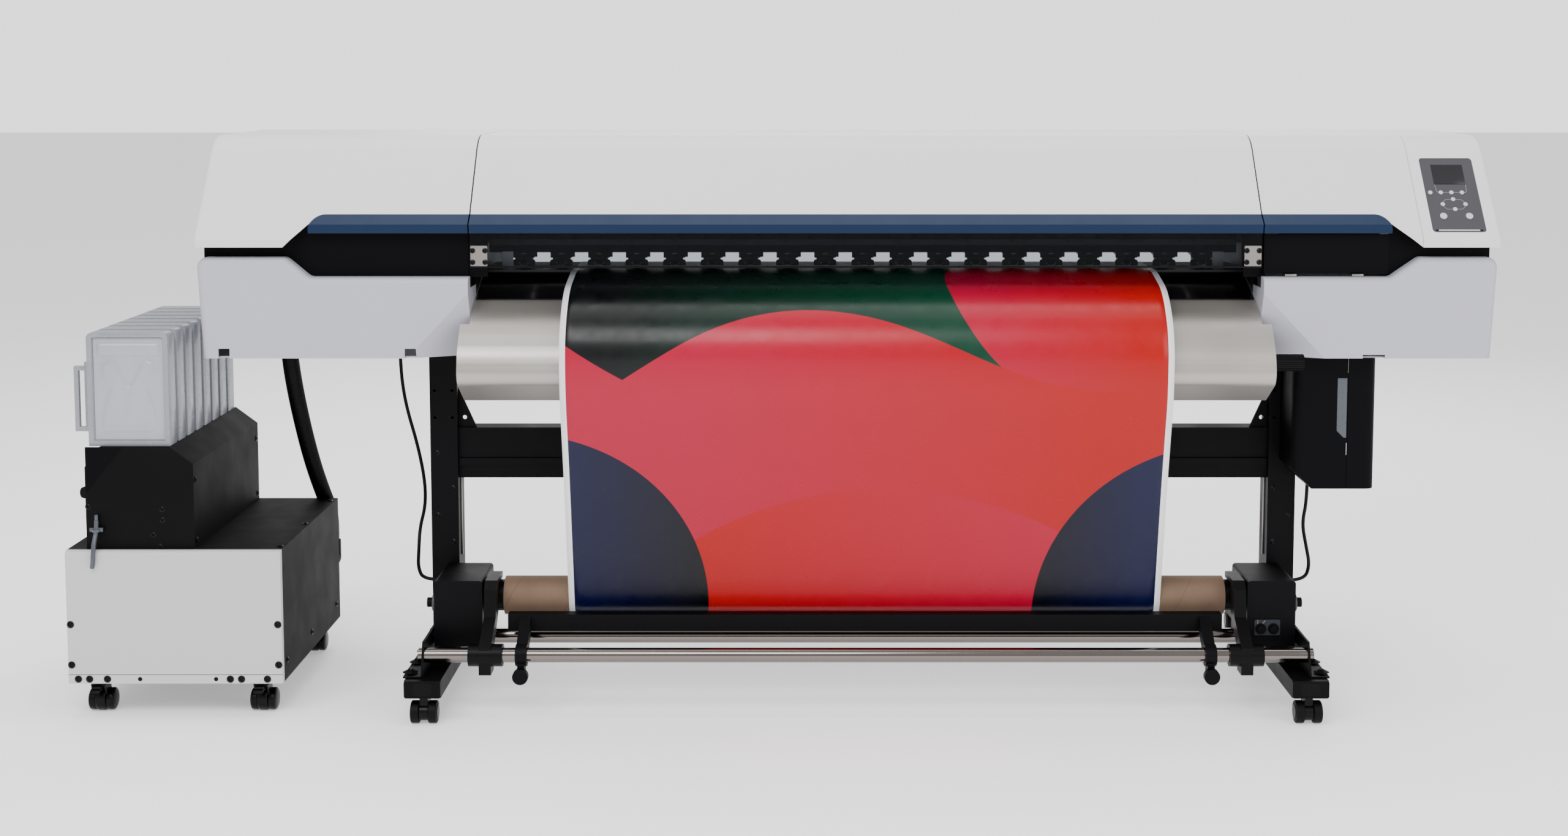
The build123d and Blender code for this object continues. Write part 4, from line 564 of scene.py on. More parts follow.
class Workpiece:
    """A mesh on the bench: a primitive that is shaped in edit mode and then finished."""

    def __init__(self, name: str) -> None:
        """Takes the primitive that was just added, with its place put into its mesh."""
        self.thing = bpy.context.object
        self.thing.name = name
        bpy.ops.object.transform_apply(location=True, rotation=True, scale=True)

    @classmethod
    def block(cls, name: str, low: Vector, high: Vector) -> "Workpiece":
        """A block between two corners."""
        deselect_all()
        middle, size = (low + high) / 2, high - low
        bpy.ops.mesh.primitive_cube_add(size=1, location=middle, scale=size)
        return cls(name)

    @classmethod
    def rod(
        cls, name: str, centre: Vector, radius: float, long: float, axis: Axis, sides: int = 24
    ) -> "Workpiece":
        """A round or many-sided bar.

        Args:
            name: The piece's name.
            centre: Its middle.
            radius: Its radius.
            long: Its length.
            axis: The direction that it lies along.
            sides: How many sides it has.

        Returns:
            The new piece.
        """
        deselect_all()
        bpy.ops.mesh.primitive_cylinder_add(
            vertices=sides, radius=radius, depth=long, location=centre, rotation=axis.value
        )
        return cls(name)

    @classmethod
    def plate(cls, name: str, centre: Vector, wide: float, deep: float, cuts: tuple[int, int]) -> "Workpiece":
        """A flat grid, level, with its cuts along each side."""
        deselect_all()
        bpy.ops.mesh.primitive_grid_add(
            x_subdivisions=cuts[0], y_subdivisions=cuts[1], size=1, location=centre, scale=(wide, deep, 1)
        )
        return cls(name)

    def edit(self) -> bmesh.types.BMesh:
        """Goes into edit mode and gives the mesh there."""
        bpy.context.view_layer.objects.active = self.thing
        self.thing.select_set(True)
        if bpy.context.mode != "EDIT_MESH":
            bpy.ops.object.mode_set(mode="EDIT")
        return bmesh.from_edit_mesh(self.thing.data)

    def pick_faces(self, test: Test) -> "Workpiece":
        """Selects the faces whose centre and normal pass a test."""
        mesh = self.edit()
        bpy.ops.mesh.select_mode(type="FACE")
        bpy.ops.mesh.select_all(action="DESELECT")
        for face in mesh.faces:
            if test(face.calc_center_median(), face.normal):
                face.select_set(True)
        bmesh.update_edit_mesh(self.thing.data)
        return self

    def pick_edges(self, test: Test) -> "Workpiece":
        """Selects the edges whose middle and direction pass a test."""
        mesh = self.edit()
        bpy.ops.mesh.select_mode(type="EDGE")
        bpy.ops.mesh.select_all(action="DESELECT")
        for edge in mesh.edges:
            first, second = (vertex.co for vertex in edge.verts)
            if test((first + second) / 2, (second - first).normalized()):
                edge.select_set(True)
        bmesh.update_edit_mesh(self.thing.data)
        return self

    def inset(self, thickness: float, depth: float = 0.0) -> "Workpiece":
        """Insets the selected faces, and raises or sinks what is inside."""
        bpy.ops.mesh.inset(thickness=thickness, depth=depth)
        return self

    def pull(self, by: Vector) -> "Workpiece":
        """Extrudes the selected faces."""
        bpy.ops.mesh.extrude_region_move(TRANSFORM_OT_translate={"value": tuple(by)})
        return self

    def round_off(self, width: float, segments: int = 3) -> "Workpiece":
        """Bevels the selected edges."""
        bpy.ops.mesh.bevel(offset=width, segments=segments, affect="EDGES")
        return self

    def press(self, height: Callable[[Vector], Vector]) -> "Workpiece":
        """Moves each point by what a function says of its place, as a stamp would."""
        mesh = self.edit()
        for vertex in mesh.verts:
            vertex.co += height(vertex.co)
        bmesh.update_edit_mesh(self.thing.data)
        return self

    def leave(self) -> "Workpiece":
        """Goes back to object mode."""
        if bpy.context.mode != "OBJECT":
            bpy.ops.object.mode_set(mode="OBJECT")
        return self

    def soften(self, width: float, segments: int = 2, angle: float = 30.0) -> "Workpiece":
        """Rounds every edge that is sharper than an angle."""
        self.leave()
        bevel = self.thing.modifiers.new("rounded", "BEVEL")
        bevel.width, bevel.segments = width, segments
        bevel.limit_method, bevel.angle_limit = "ANGLE", math.radians(angle)
        return self.apply(bevel)

    def apply(self, modifier: bpy.types.Modifier) -> "Workpiece":
        """Applies a modifier to the mesh."""
        self.leave()
        bpy.context.view_layer.objects.active = self.thing
        bpy.ops.object.modifier_apply(modifier=modifier.name)
        return self

    def repeat(self, places: Iterable[Matrix]) -> "Workpiece":
        """Copies the piece to each place, every copy with its own mesh, and joins the copies."""
        self.leave()
        deselect_all()
        copies = []
        for place in places:
            twin = self.thing.copy()
            twin.data = self.thing.data.copy()
            twin.data.transform(place)
            bpy.context.scene.collection.objects.link(twin)
            twin.select_set(True)
            copies.append(twin)
        name = self.thing.name
        bpy.data.objects.remove(self.thing)
        self.thing = copies[0]
        bpy.context.view_layer.objects.active = self.thing
        bpy.ops.object.join()
        self.thing.name = name
        return self

    def join(self, *others: "Workpiece") -> "Workpiece":
        """Joins other pieces to this one."""
        self.leave()
        deselect_all()
        for other in (self, *others):
            other.thing.select_set(True)
        bpy.context.view_layer.objects.active = self.thing
        bpy.ops.object.join()
        return self

    def finish(self, paint: Paintbox, slot: str, body: str, smooth: float = 35.0) -> bpy.types.Object:
        """Dresses the piece and hands it over to the body that it moves with.

        Args:
            paint: The finishes.
            slot: The finish that it gets.
            body: The body that it rides on.
            smooth: The angle in degrees under which faces are shaded as one.

        Returns:
            The finished object.
        """
        self.leave()
        deselect_all()
        self.thing.select_set(True)
        bpy.context.view_layer.objects.active = self.thing
        bpy.ops.object.shade_smooth_by_angle(angle=math.radians(smooth))
        self.thing.data.materials.clear()
        self.thing.data.materials.append(paint[slot])
        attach(self.thing, body)
        log.info("%s: %d faces on %s", self.thing.name, len(self.thing.data.polygons), body)
        return self.thing


def facing(normal: Vector, at: Vector) -> Matrix:
    """The place of a copy whose master lies at the origin and faces the front (-Y)."""
    turn = Vector((0.0, -1.0, 0.0)).rotation_difference(normal.normalized()).to_matrix().to_4x4()
    return Matrix.Translation(at) @ turn


FRONT, RIGHT, UP = Vector((0.0, -1.0, 0.0)), Vector((1.0, 0.0, 0.0)), Vector((0.0, 0.0, 1.0))


@dataclass
class Screws:
    """A set of equal socket screws with round heads."""

    name: str
    radius: float
    places: list[tuple[Vector, Vector]]
    body: str = "root"
    slot: str = "screw_black"
    proud: float = 0.5

    def build(self, paint: Paintbox) -> bpy.types.Object:
        """Models one head with its round sunk socket and sets it at every place."""
        high = self.radius * self.proud
        head = Workpiece.rod(self.name, Vector((0.0, -high / 2, 0.0)), self.radius, high, Axis.Y, 14)
        head.pick_edges(lambda middle, along: middle.y < -high * 0.9)
        head.round_off(self.radius * 0.3, 2)
        head.pick_faces(faces_front)
        head.inset(self.radius * 0.28)
        head.inset(self.radius * 0.04, -high * 0.5)
        head.leave()
        head.repeat(facing(normal, at) for at, normal in self.places)
        return head.finish(paint, self.slot, self.body, 40.0)


# ---------------------------------------------------------------- camera, light and floor


@dataclass
class Studio:
    """The camera in front of the machine, a pale floor and soft lamps."""

    stand: Vector = field(default_factory=lambda: Vector((0.0562, -4.6882, 1.4514)))
    pitch: float = 5.0
    lens: float = 45.52
    shift_x: float = -0.0153
    drop: float = 0.1766
    sky: float = 0.86
    backdrop: float = 1.9
    floor_span: float = 80.0

    def camera(self) -> None:
        """Sets the camera at eye height, tilted down a little."""
        lens = bpy.data.cameras.new("camera")
        lens.lens, lens.sensor_width = self.lens, 36.0
        lens.shift_x = self.shift_x
        lens.shift_y = (math.tan(math.radians(self.pitch)) - self.drop) * self.lens / lens.sensor_width
        lens.clip_end = 200.0
        camera = bpy.data.objects.new("camera", lens)
        camera.location = self.stand
        camera.rotation_euler = (math.radians(90 - self.pitch), 0.0, 0.0)
        bpy.context.scene.collection.objects.link(camera)
        bpy.context.scene.camera = camera

    def lamp(self, name: str, at: Vector, aim: Vector, size: tuple[float, float], power: float) -> None:
        """Hangs a soft box.

        Args:
            name: The lamp's name.
            at: Where it hangs.
            aim: The point that it faces.
            size: Its width and height.
            power: Its power in watts.
        """
        light = bpy.data.lights.new(name, "AREA")
        light.shape = "RECTANGLE"
        light.size, light.size_y = size
        light.energy = power
        lamp = bpy.data.objects.new(name, light)
        lamp.location = at
        lamp.rotation_euler = (aim - at).to_track_quat("-Z", "Y").to_euler()
        bpy.context.scene.collection.objects.link(lamp)

    def build(self) -> None:
        """Sets up the whole studio."""
        self.camera()
        middle = Vector((0.0, 0.0, 0.7))
        self.lamp("key", Vector((-1.6, -4.2, 4.6)), middle, (4.5, 2.2), 260.0)
        self.lamp("fill", Vector((3.8, -3.6, 2.4)), middle, (2.5, 3.0), 90.0)
        self.lamp("overhead", Vector((0.0, 0.6, 4.8)), middle, (5.0, 3.0), 160.0)
        self.lamp("rear", Vector((0.5, 4.5, 3.0)), middle, (5.0, 2.0), 90.0)
        world = bpy.data.worlds.new("studio")
        world.use_nodes = True
        sky = world.node_tree.nodes["Background"]
        sky.inputs["Color"].default_value = (0.98, 0.985, 1.0, 1.0)
        seen = world.node_tree.nodes.new("ShaderNodeLightPath").outputs["Is Camera Ray"]
        strength = world.node_tree.nodes.new("ShaderNodeMapRange")
        strength.inputs["To Min"].default_value = self.sky
        strength.inputs["To Max"].default_value = self.backdrop
        world.node_tree.links.new(seen, strength.inputs["Value"])
        world.node_tree.links.new(strength.outputs["Result"], sky.inputs["Strength"])
        bpy.context.scene.world = world
        deselect_all()
        bpy.ops.mesh.primitive_plane_add(size=self.floor_span)
        floor = bpy.context.object
        floor.name = "studio_floor"
        floor.data.materials.append(floor_material())
        log.info("studio ready")


# ---------------------------------------------------------------- cords


@dataclass
class Route:
    """A cord's line: a smooth curve led by a few chosen points."""

    name: str
    points: list[Vector]
    radius: float

    def curve(self, bevel: float = 0.0) -> bpy.types.Object:
        """The line as a curve object, with a round section when a radius is given."""
        data = bpy.data.curves.new(self.name, "CURVE")
        data.dimensions = "3D"
        data.resolution_u = 16
        data.bevel_depth, data.bevel_resolution = bevel, 6
        data.use_fill_caps = bevel > 0
        spline = data.splines.new("NURBS")
        spline.points.add(len(self.points) - 1)
        for knot, point in zip(spline.points, self.points):
            knot.co = (*point, 1.0)
        spline.order_u = 3
        spline.use_endpoint_u = True
        made = bpy.data.objects.new(self.name, data)
        bpy.context.scene.collection.objects.link(made)
        return made

    def walk(self) -> list[Vector]:
        """Points read along the smooth line."""
        bare = self.curve()
        mesh = bpy.data.meshes.new_from_object(bare)
        line = [vertex.co.copy() for vertex in mesh.vertices]
        bpy.data.meshes.remove(mesh)
        bpy.data.objects.remove(bare)
        return line


def along_line(line: Sequence[Vector], pitch: float) -> list[tuple[Vector, Vector]]:
    """Evenly spaced places on a line.

    Args:
        line: The points of the line.
        pitch: The distance between two places.

    Returns:
        Each place with the line's direction there.
    """
    total = sum((b - a).length for a, b in zip(line, line[1:]))
    count = max(2, round(total / pitch))
    places, walked, segment = [], 0.0, 0
    for step in range(count + 1):
        want = total * step / count
        while segment < len(line) - 2 and walked + (line[segment + 1] - line[segment]).length < want:
            walked += (line[segment + 1] - line[segment]).length
            segment += 1
        run = line[segment + 1] - line[segment]
        places.append((line[segment] + run.normalized() * (want - walked), run.normalized()))
    return places


@dataclass
class Cords:
    """The corrugated ink hose and the two thin cables down the legs."""

    hose: Route = field(default_factory=lambda: Route("corrugated_hose", [
        spot(-1340, -161, 803), spot(-1340, -158, 778), spot(-1341, -112, 690), spot(-1342, -38, 584),
        spot(-1342, 42, 484), spot(-1341, 128, 396), spot(-1340, 212, 322), spot(-1340, 206, 256),
    ], 0.0195))
    left: Route = field(default_factory=lambda: Route("left_leg_cable", [
        spot(-1088, -130, 803), spot(-1088, -130, 745), spot(-1078, -126, 660), spot(-1052, -124, 565),
        spot(-1036, -125, 480), spot(-1034, -132, 420), spot(-1046, -144, 370), spot(-1044, -172, 322),
        spot(-1038, -214, 290), spot(-1018, -248, 272), spot(-980, -248, 272),
    ], 0.004))
    right: Route = field(default_factory=lambda: Route("right_leg_cable", [
        spot(1034, -196, 494), spot(1034, -196, 445), spot(1025, -193, 392), spot(1036, -188, 340),
        spot(1042, -206, 294), spot(1020, -240, 268), spot(980, -240, 268),
    ], 0.004))
    hose_length: float = 0.694
    left_length: float = 0.626
    right_length: float = 0.287
    rib_pitch: float = 0.0052
    rib_depth: float = 0.0022
    sides: int = 36

    def ribbed(self, paint: Paintbox) -> None:
        """Models the hose as a tube whose wall rises and falls along it."""
        line = self.hose.walk()
        places = along_line(line, self.rib_pitch / 4)
        mesh = bpy.data.meshes.new(self.hose.name)
        shape = bmesh.new()
        rings = []
        side = Vector((1.0, 0.0, 0.0))
        for number, (centre, along) in enumerate(places):
            side = (side - along * side.dot(along)).normalized()
            other = along.cross(side)
            phase = number % 4
            radius = self.hose.radius - (0.0, 0.35, 1.0, 0.35)[phase] * self.rib_depth
            turns = [math.tau * step / self.sides for step in range(self.sides)]
            spokes = [side * math.cos(turn) + other * math.sin(turn) for turn in turns]
            rings.append([shape.verts.new(centre + spoke * radius) for spoke in spokes])
        for lower, upper in zip(rings, rings[1:]):
            for step in range(self.sides):
                following = (step + 1) % self.sides
                shape.faces.new((lower[step], lower[following], upper[following], upper[step]))
        shape.faces.new(list(reversed(rings[0])))
        shape.faces.new(rings[-1])
        bmesh.ops.recalc_face_normals(shape, faces=shape.faces)
        for face in shape.faces:
            face.smooth = len(face.verts) == 4
        shape.to_mesh(mesh)
        shape.free()
        mesh.materials.append(paint["hose_black"])
        tube = bpy.data.objects.new(self.hose.name, mesh)
        bpy.context.scene.collection.objects.link(tube)
        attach(tube, "root")
        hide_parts("ink_hose")
        log.info("%s: %d faces", tube.name, len(mesh.polygons))

    def thin(self, paint: Paintbox, route: Route, node: str) -> None:
        """Models one plain cable.

        Args:
            paint: The finishes.
            route: The cable's line.
            node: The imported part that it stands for.
        """
        cable = route.curve(route.radius)
        cable.data.materials.append(paint["cable_black"])
        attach(cable, "root")
        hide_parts(node)
        log.info("%s: %d points", cable.name, len(route.points))

    def build(self, paint: Paintbox) -> None:
        """Makes all three."""
        self.ribbed(paint)
        self.thin(paint, self.left, "left_cable")
        self.thin(paint, self.right, "right_cable")


# ---------------------------------------------------------------- paper


def bent_line(corners: Sequence[Vector], radii: Sequence[float], step: float) -> list[Vector]:
    """The profile of a sheet that runs straight between round bends.

    Args:
        corners: Where the straight runs would meet, with the two ends.
        radii: The bend's radius at each inner corner.
        step: The angle between two points of a bend, in radians.

    Returns:
        Points along the profile.
    """
    line = [corners[0]]
    for before, corner, after, radius in zip(corners, corners[1:], corners[2:], radii):
        inward, outward = (corner - before).normalized(), (after - corner).normalized()
        turn = inward.angle(outward)
        reach = radius * math.tan(turn / 2)
        start = corner - inward * reach
        square = (outward - inward * outward.dot(inward)).normalized()
        centre = start + square * radius
        count = max(2, math.ceil(turn / step))
        for number in range(count + 1):
            swing = turn * number / count
            line.append(centre - square * radius * math.cos(swing) + inward * radius * math.sin(swing))
    line.append(corners[-1])
    return line


@dataclass
class PrintedWeb:
    """The paper that comes over the platen, hangs in front and meets the take-up core."""

    thick: float = 0.0004
    across: int = 48
    step: float = 0.006
    ripple: float = 0.0010
    print_line: float = -0.088

    def profile(self) -> list[Vector]:
        """The line that the paper follows, seen from the side."""
        low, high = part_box("takeup_tube")
        core, reach = (low + high) / 2, (high.z - low.z) / 2 + 0.0003
        floor = core.z - reach
        rise, web = 0.1784 + PAPER_CENTRE.y, 0.9833
        hang = Vector((0.0, -0.372 + PAPER_CENTRE.y, (0.803 + core.z) / 2 + 0.030))
        away = core - hang
        away.x = 0.0
        heading = math.atan2(away.z, away.y) - math.asin(reach / away.length)
        foot = Vector((0.0, hang.y + (floor - hang.z) / math.tan(heading), floor))
        front = [(-0.190, web), (-0.345, web - 0.031), (-0.432, web - 0.122), (-0.430, 0.735)]
        corners = [Vector((0.0, rise, 0.745)), Vector((0.0, rise, web))]
        corners += [Vector((0.0, y + PAPER_CENTRE.y, z)) for y, z in front]
        corners += [hang, foot, Vector((0.0, core.y + 0.008, floor))]
        radii = []
        for before, corner, after in zip(corners, corners[1:], corners[2:]):
            shorter = min((corner - before).length, (after - corner).length)
            turn = (corner - before).angle(after - corner)
            radii.append(0.45 * shorter / math.tan(turn / 2))
        radii[0] = 0.150
        radii[1] = 0.030 / math.tan((corners[2] - corners[1]).angle(corners[3] - corners[2]) / 2)
        radii[-1] = reach
        return bent_line(corners, radii, math.radians(4))

    def build(self, paint: Paintbox) -> None:
        low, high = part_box("media_web")
        line = self.profile()
        length = sum((b - a).length for a, b in zip(line, line[1:]))
        places = along_line(line, self.step)
        sheet = Workpiece.plate("printed_web", Vector((0, 0, 0)), 1.0, 1.0, (self.across, len(places) - 1))
        width = high.x - low.x

        def lay(point: Vector) -> Vector:
            """How far a grid point moves to its place on the paper."""
            row = round((point.y + 0.5) * (len(places) - 1))
            at, along = places[row]
            outward = Vector((0.0, along.z, -along.y))
            free = max(0.0, min(1.0, (at.z - 0.30) / 0.1, (0.80 - at.z) / 0.1)) if at.y < 0 else 0.0
            wave = math.sin(point.x * 9.0 + at.z * 5.0) * self.ripple * free
            goal = at + outward * (self.thick / 2 + wave + self.ripple * free)
            goal.x = low.x + (point.x + 0.5) * width
            return goal - point

        sheet.press(lay)
        bpy.ops.mesh.select_all(action="SELECT")
        bpy.ops.mesh.flip_normals()
        sheet.leave()
        blank = sum(self.step for at, along in places if at.y > PAPER_CENTRE.y + self.print_line)
        printed = InkedPaper("print_paper", width, length, blank).material()
        web = sheet.thing
        web.data.materials.append(printed)
        web.data.materials.append(paint["blank_paper"])
        solid = web.modifiers.new("wall", "SOLIDIFY")
        solid.thickness, solid.offset = self.thick, 0.0
        solid.material_offset, solid.material_offset_rim = 1, 1
        sheet.apply(solid)
        for face in web.data.polygons:
            face.use_smooth = True
        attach(web, "root")
        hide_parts("media_web")
        log.info("printed_web: %.3f by %.3f m", width, length)


# ---------------------------------------------------------------- ink cases


@dataclass
class InkCases:
    """Eight frosted ink cases side by side, each with a moulded pouch face and a slotted grip."""

    count: int = 8
    pitch: float = 0.064
    thick: float = 0.048
    grip: float = 0.036
    corner: float = 0.013
    lip: float = 0.011
    sunk: float = 0.010
    swell: float = 0.0060
    cuts: tuple[int, int] = (44, 66)

    def relief(self, across: float, up: float) -> float:
        """How far the pouch film stands out of the case's face.

        Args:
            across: The place across the face, from -1 to 1.
            up: The place up the face, from 0 to 1.

        Returns:
            The height as a share of the full relief, from -1 to 1.
        """

        def step(value: float) -> float:
            """A soft rise from 0 to 1."""
            share = max(0.0, min(1.0, value))
            return share * share * (3 - 2 * share)

        def between(outline: Sequence[tuple[float, float]]) -> float:
            """The outline's half width at this height, straight between its points."""
            for (low, first), (high, second) in zip(outline, outline[1:]):
                if low <= up <= high:
                    return first + (second - first) * (up - low) / (high - low)
            return 0.0

        side = abs(across)
        body = between(
            ((0.08, 0.80), (0.16, 0.86), (0.38, 0.74), (0.50, 0.58), (0.62, 0.84), (0.74, 0.80), (0.79, 0.5))
        )
        notch = between(((0.53, 0.0), (0.66, 0.20), (0.80, 0.42)))
        pouch = step((body - side) / 0.16) * (step((side - notch) / 0.14) if notch else 1.0)
        crest = 0.55 * math.exp(-((across / 0.09) ** 2)) * step((up - 0.16) / 0.1) * step((0.52 - up) / 0.08)
        band = 0.8 * step((up - 0.815) / 0.03) * step((0.955 - up) / 0.03) * step((0.92 - side) / 0.08)
        stamp = -0.22 * step((up - 0.13) / 0.01) * step((0.24 - up) / 0.01) * step((0.60 - side) / 0.03)
        return 0.62 * pouch + crest + band + stamp - 0.3

    def shell(self, low: Vector, high: Vector, left: float) -> Workpiece:
        """The case itself, a block with rounded upper corners and a sunk face."""
        far = Vector((high.x, low.y + self.thick, high.z))
        case = Workpiece.block("ink_case_row", Vector((left, low.y, low.z)), far)
        case.pick_edges(lambda middle, along: middle.z > high.z - 0.001 and abs(along.y) > 0.9)
        case.round_off(self.corner, 5)
        case.pick_faces(faces_front).inset(self.lip)
        case.inset(0.002, -self.sunk)
        return case.leave().soften(0.0012, 2)

    def film(self, low: Vector, high: Vector, left: float) -> Workpiece:
        """The wrinkled pouch film in the sunk face."""
        face = Workpiece.plate("ink_pouch_film", Vector((0, 0, 0)), 1.0, 1.0, self.cuts)
        inner = self.lip + 0.0024
        width, height = high.x - left - 2 * inner, high.z - low.z - 2 * inner

        def stamp(point: Vector) -> Vector:
            """How far a point of the film moves to its place."""
            across, up = 2 * point.x, point.y + 0.5
            rim = max(0.0, min(1.0, (1 - abs(across)) * 8, up * 12, (1 - up) * 12))
            out = self.relief(across, up) * self.swell * rim
            x = left + inner + (point.x + 0.5) * width
            return Vector((x, low.y + self.sunk - 0.0034 - out, low.z + inner + up * height)) - point

        return face.press(stamp).leave()

    def handle(self, low: Vector, left: float) -> Workpiece:
        """The slotted grip at the left of a case."""
        corner = Vector((low.x, low.y + 0.018, low.z + 0.030))
        grip = Workpiece.block("grip", corner, Vector((left + 0.001, low.y + 0.030, low.z + 0.177)))
        grip.pick_faces(lambda middle, normal: abs(normal.y) > 0.9).inset(0.010)
        bpy.ops.mesh.bridge_edge_loops()
        return grip.leave().soften(0.0008, 2)

    def build(self, paint: Paintbox) -> None:
        """Models one case with its film and sets out the row."""
        low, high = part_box("ink_cases")
        left = low.x + self.grip
        case = self.shell(low, high, left).join(self.handle(low, left))
        film = self.film(low, high, left)
        for piece in (case, film):
            piece.repeat(Matrix.Translation((0.0, number * self.pitch, 0.0)) for number in range(self.count))
        row = case.finish(paint, "case_clear", "root", 40.0)
        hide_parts("ink_cases")
        film.finish(paint, "pouch_film", "root", 60.0)


# ---------------------------------------------------------------- covers and window


@dataclass
class Cabinet:
    """The printer's covers, trims and recesses, with their finishes."""

    dressed: dict[str, str] = field(default_factory=lambda: {
        "left_upper_cover": "cover_white", "right_upper_cover": "cover_white", "control_cover": "cover_white",
        "front_cover": "cover_white", "rear_cover": "cover_white", "left_lower_cover": "cover_grey_white",
        "right_lower_cover": "cover_grey_white", "side_trims": "trim_blue", "front_trim": "trim_blue",
        "front_window": "window_clear", "maintenance_door": "recess_black", "side_frames": "recess_black",
        "front_apron": "apron_steel", "platen": "platen_aluminium", "feed_roller": "platen_aluminium",
        "y_beam": "rail_grey", "pinch_rollers": "black_plastic", "carriage": "black_plastic",
        "supply_roll": "roll_paper",
    })

    def build(self, paint: Paintbox) -> None:
        """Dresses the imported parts."""
        paint.dress_all(self.dressed)


@dataclass
class Stand:
    """Legs, feet, take-up and waste tank, with their finishes."""

    dressed: dict[str, str] = field(default_factory=lambda: {
        "stand_legs": "frame_black", "crossbeam": "frame_black", "takeup_boxes": "frame_black",
        "takeup_tube": "core_card", "takeup_chucks": "black_plastic", "slide_pipes": "pipe_chrome",
        "pipe_clamps": "black_plastic", "tension_bar": "frame_black", "waste_tank_cover": "recess_black",
        "waste_tank_door": "recess_black",
    })

    def build(self, paint: Paintbox) -> None:
        """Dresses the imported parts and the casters."""
        paint.dress_all(self.dressed)
        for end in ("front", "rear"):
            for side in ("left", "right"):
                paint.dress(f"caster_fork_{end}_{side}", "caster_black")
                paint.dress(f"caster_wheels_{end}_{side}", "caster_tread")
                paint.dress(f"cart_caster_{end}_{side}", "caster_black")
        log.info("casters dressed")


@dataclass
class InkCart:
    """The ink cart's body, panel and housing, with their finishes."""

    dressed: dict[str, str] = field(default_factory=lambda: {
        "ink_base_cover": "cart_black", "ink_side_panel": "cart_white", "ink_housing": "cart_black",
    })

    def build(self, paint: Paintbox) -> None:
        """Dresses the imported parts."""
        paint.dress_all(self.dressed)


@dataclass
class ControlPanel:
    """The operator's plate and its keys, dressed here; its display, printed outlines and light bar are made
    in PanelMarks.
    """

    keys: tuple[str, ...] = (
        "menu", "first", "second", "third", "up", "down", "left", "right", "stop", "enter",
    )

    def build(self, paint: Paintbox) -> None:
        """Dresses the plate and its keys."""
        paint.dress("panel_plate", "panel_grey")
        paint.dress_all({f"key_{key}": "key_grey" for key in self.keys})


@dataclass
class WindowFittings:
    """What goes with the clear window: its end brackets, lower edge and the dark cheeks beside it."""

    bracket_wide: float = 0.038
    bracket_high: float = 0.046
    bracket_drop: float = 0.028
    plate: float = 0.0018
    cheek_wide: float = 0.049
    screw: float = 0.0036

    def build(self, paint: Paintbox) -> None:
        """Models the brackets with their screws, the edge strip and the cheeks."""
        low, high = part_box("front_window")
        top, front = high.z - self.bracket_drop, low.y
        brackets, places = [], []
        for left in (low.x + self.plate, high.x - self.plate - self.bracket_wide):
            corner = Vector((left, front - self.plate, top - self.bracket_high))
            far = Vector((left + self.bracket_wide, front, top))
            plate = Workpiece.block("window_brackets", corner, far)
            plate.pick_edges(runs_deep).round_off(0.002, 3)
            plate.soften(0.0004, 1)
            brackets.append(plate)
            places += [
                (Vector((left + across, front - self.plate, top - down)), FRONT)
                for across in (0.005, self.bracket_wide - 0.005)
                for down in (0.011, self.bracket_high - 0.009)
            ]
        brackets[0].join(brackets[1]).finish(paint, "zinc_plate", "front_cover")
        Screws("window_bracket_screws", self.screw, places, "front_cover").build(paint)
        edge = Workpiece.block(
            "window_edge", Vector((low.x, low.y - 0.0006, low.z - 0.001)),
            Vector((high.x, high.y + 0.0006, low.z + 0.003)),
        )
        edge.soften(0.0005, 2).finish(paint, "black_plastic", "front_cover")
        inner = Vector((0.0, spot(0, -318, 0).y, 0.0))
        cheeks = []
        for left in (low.x - 0.013, high.x - self.cheek_wide + 0.013):
            corner = Vector((left, inner.y + 0.002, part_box("platen")[1].z))
            far = Vector((left + self.cheek_wide, inner.y + 0.006, high.z + 0.005))
            cheek = Workpiece.block("window_cheeks", corner, far)
            cheek.soften(0.001, 2)
            cheeks.append(cheek)
        cheeks[0].join(cheeks[1]).finish(paint, "recess_black", "root")


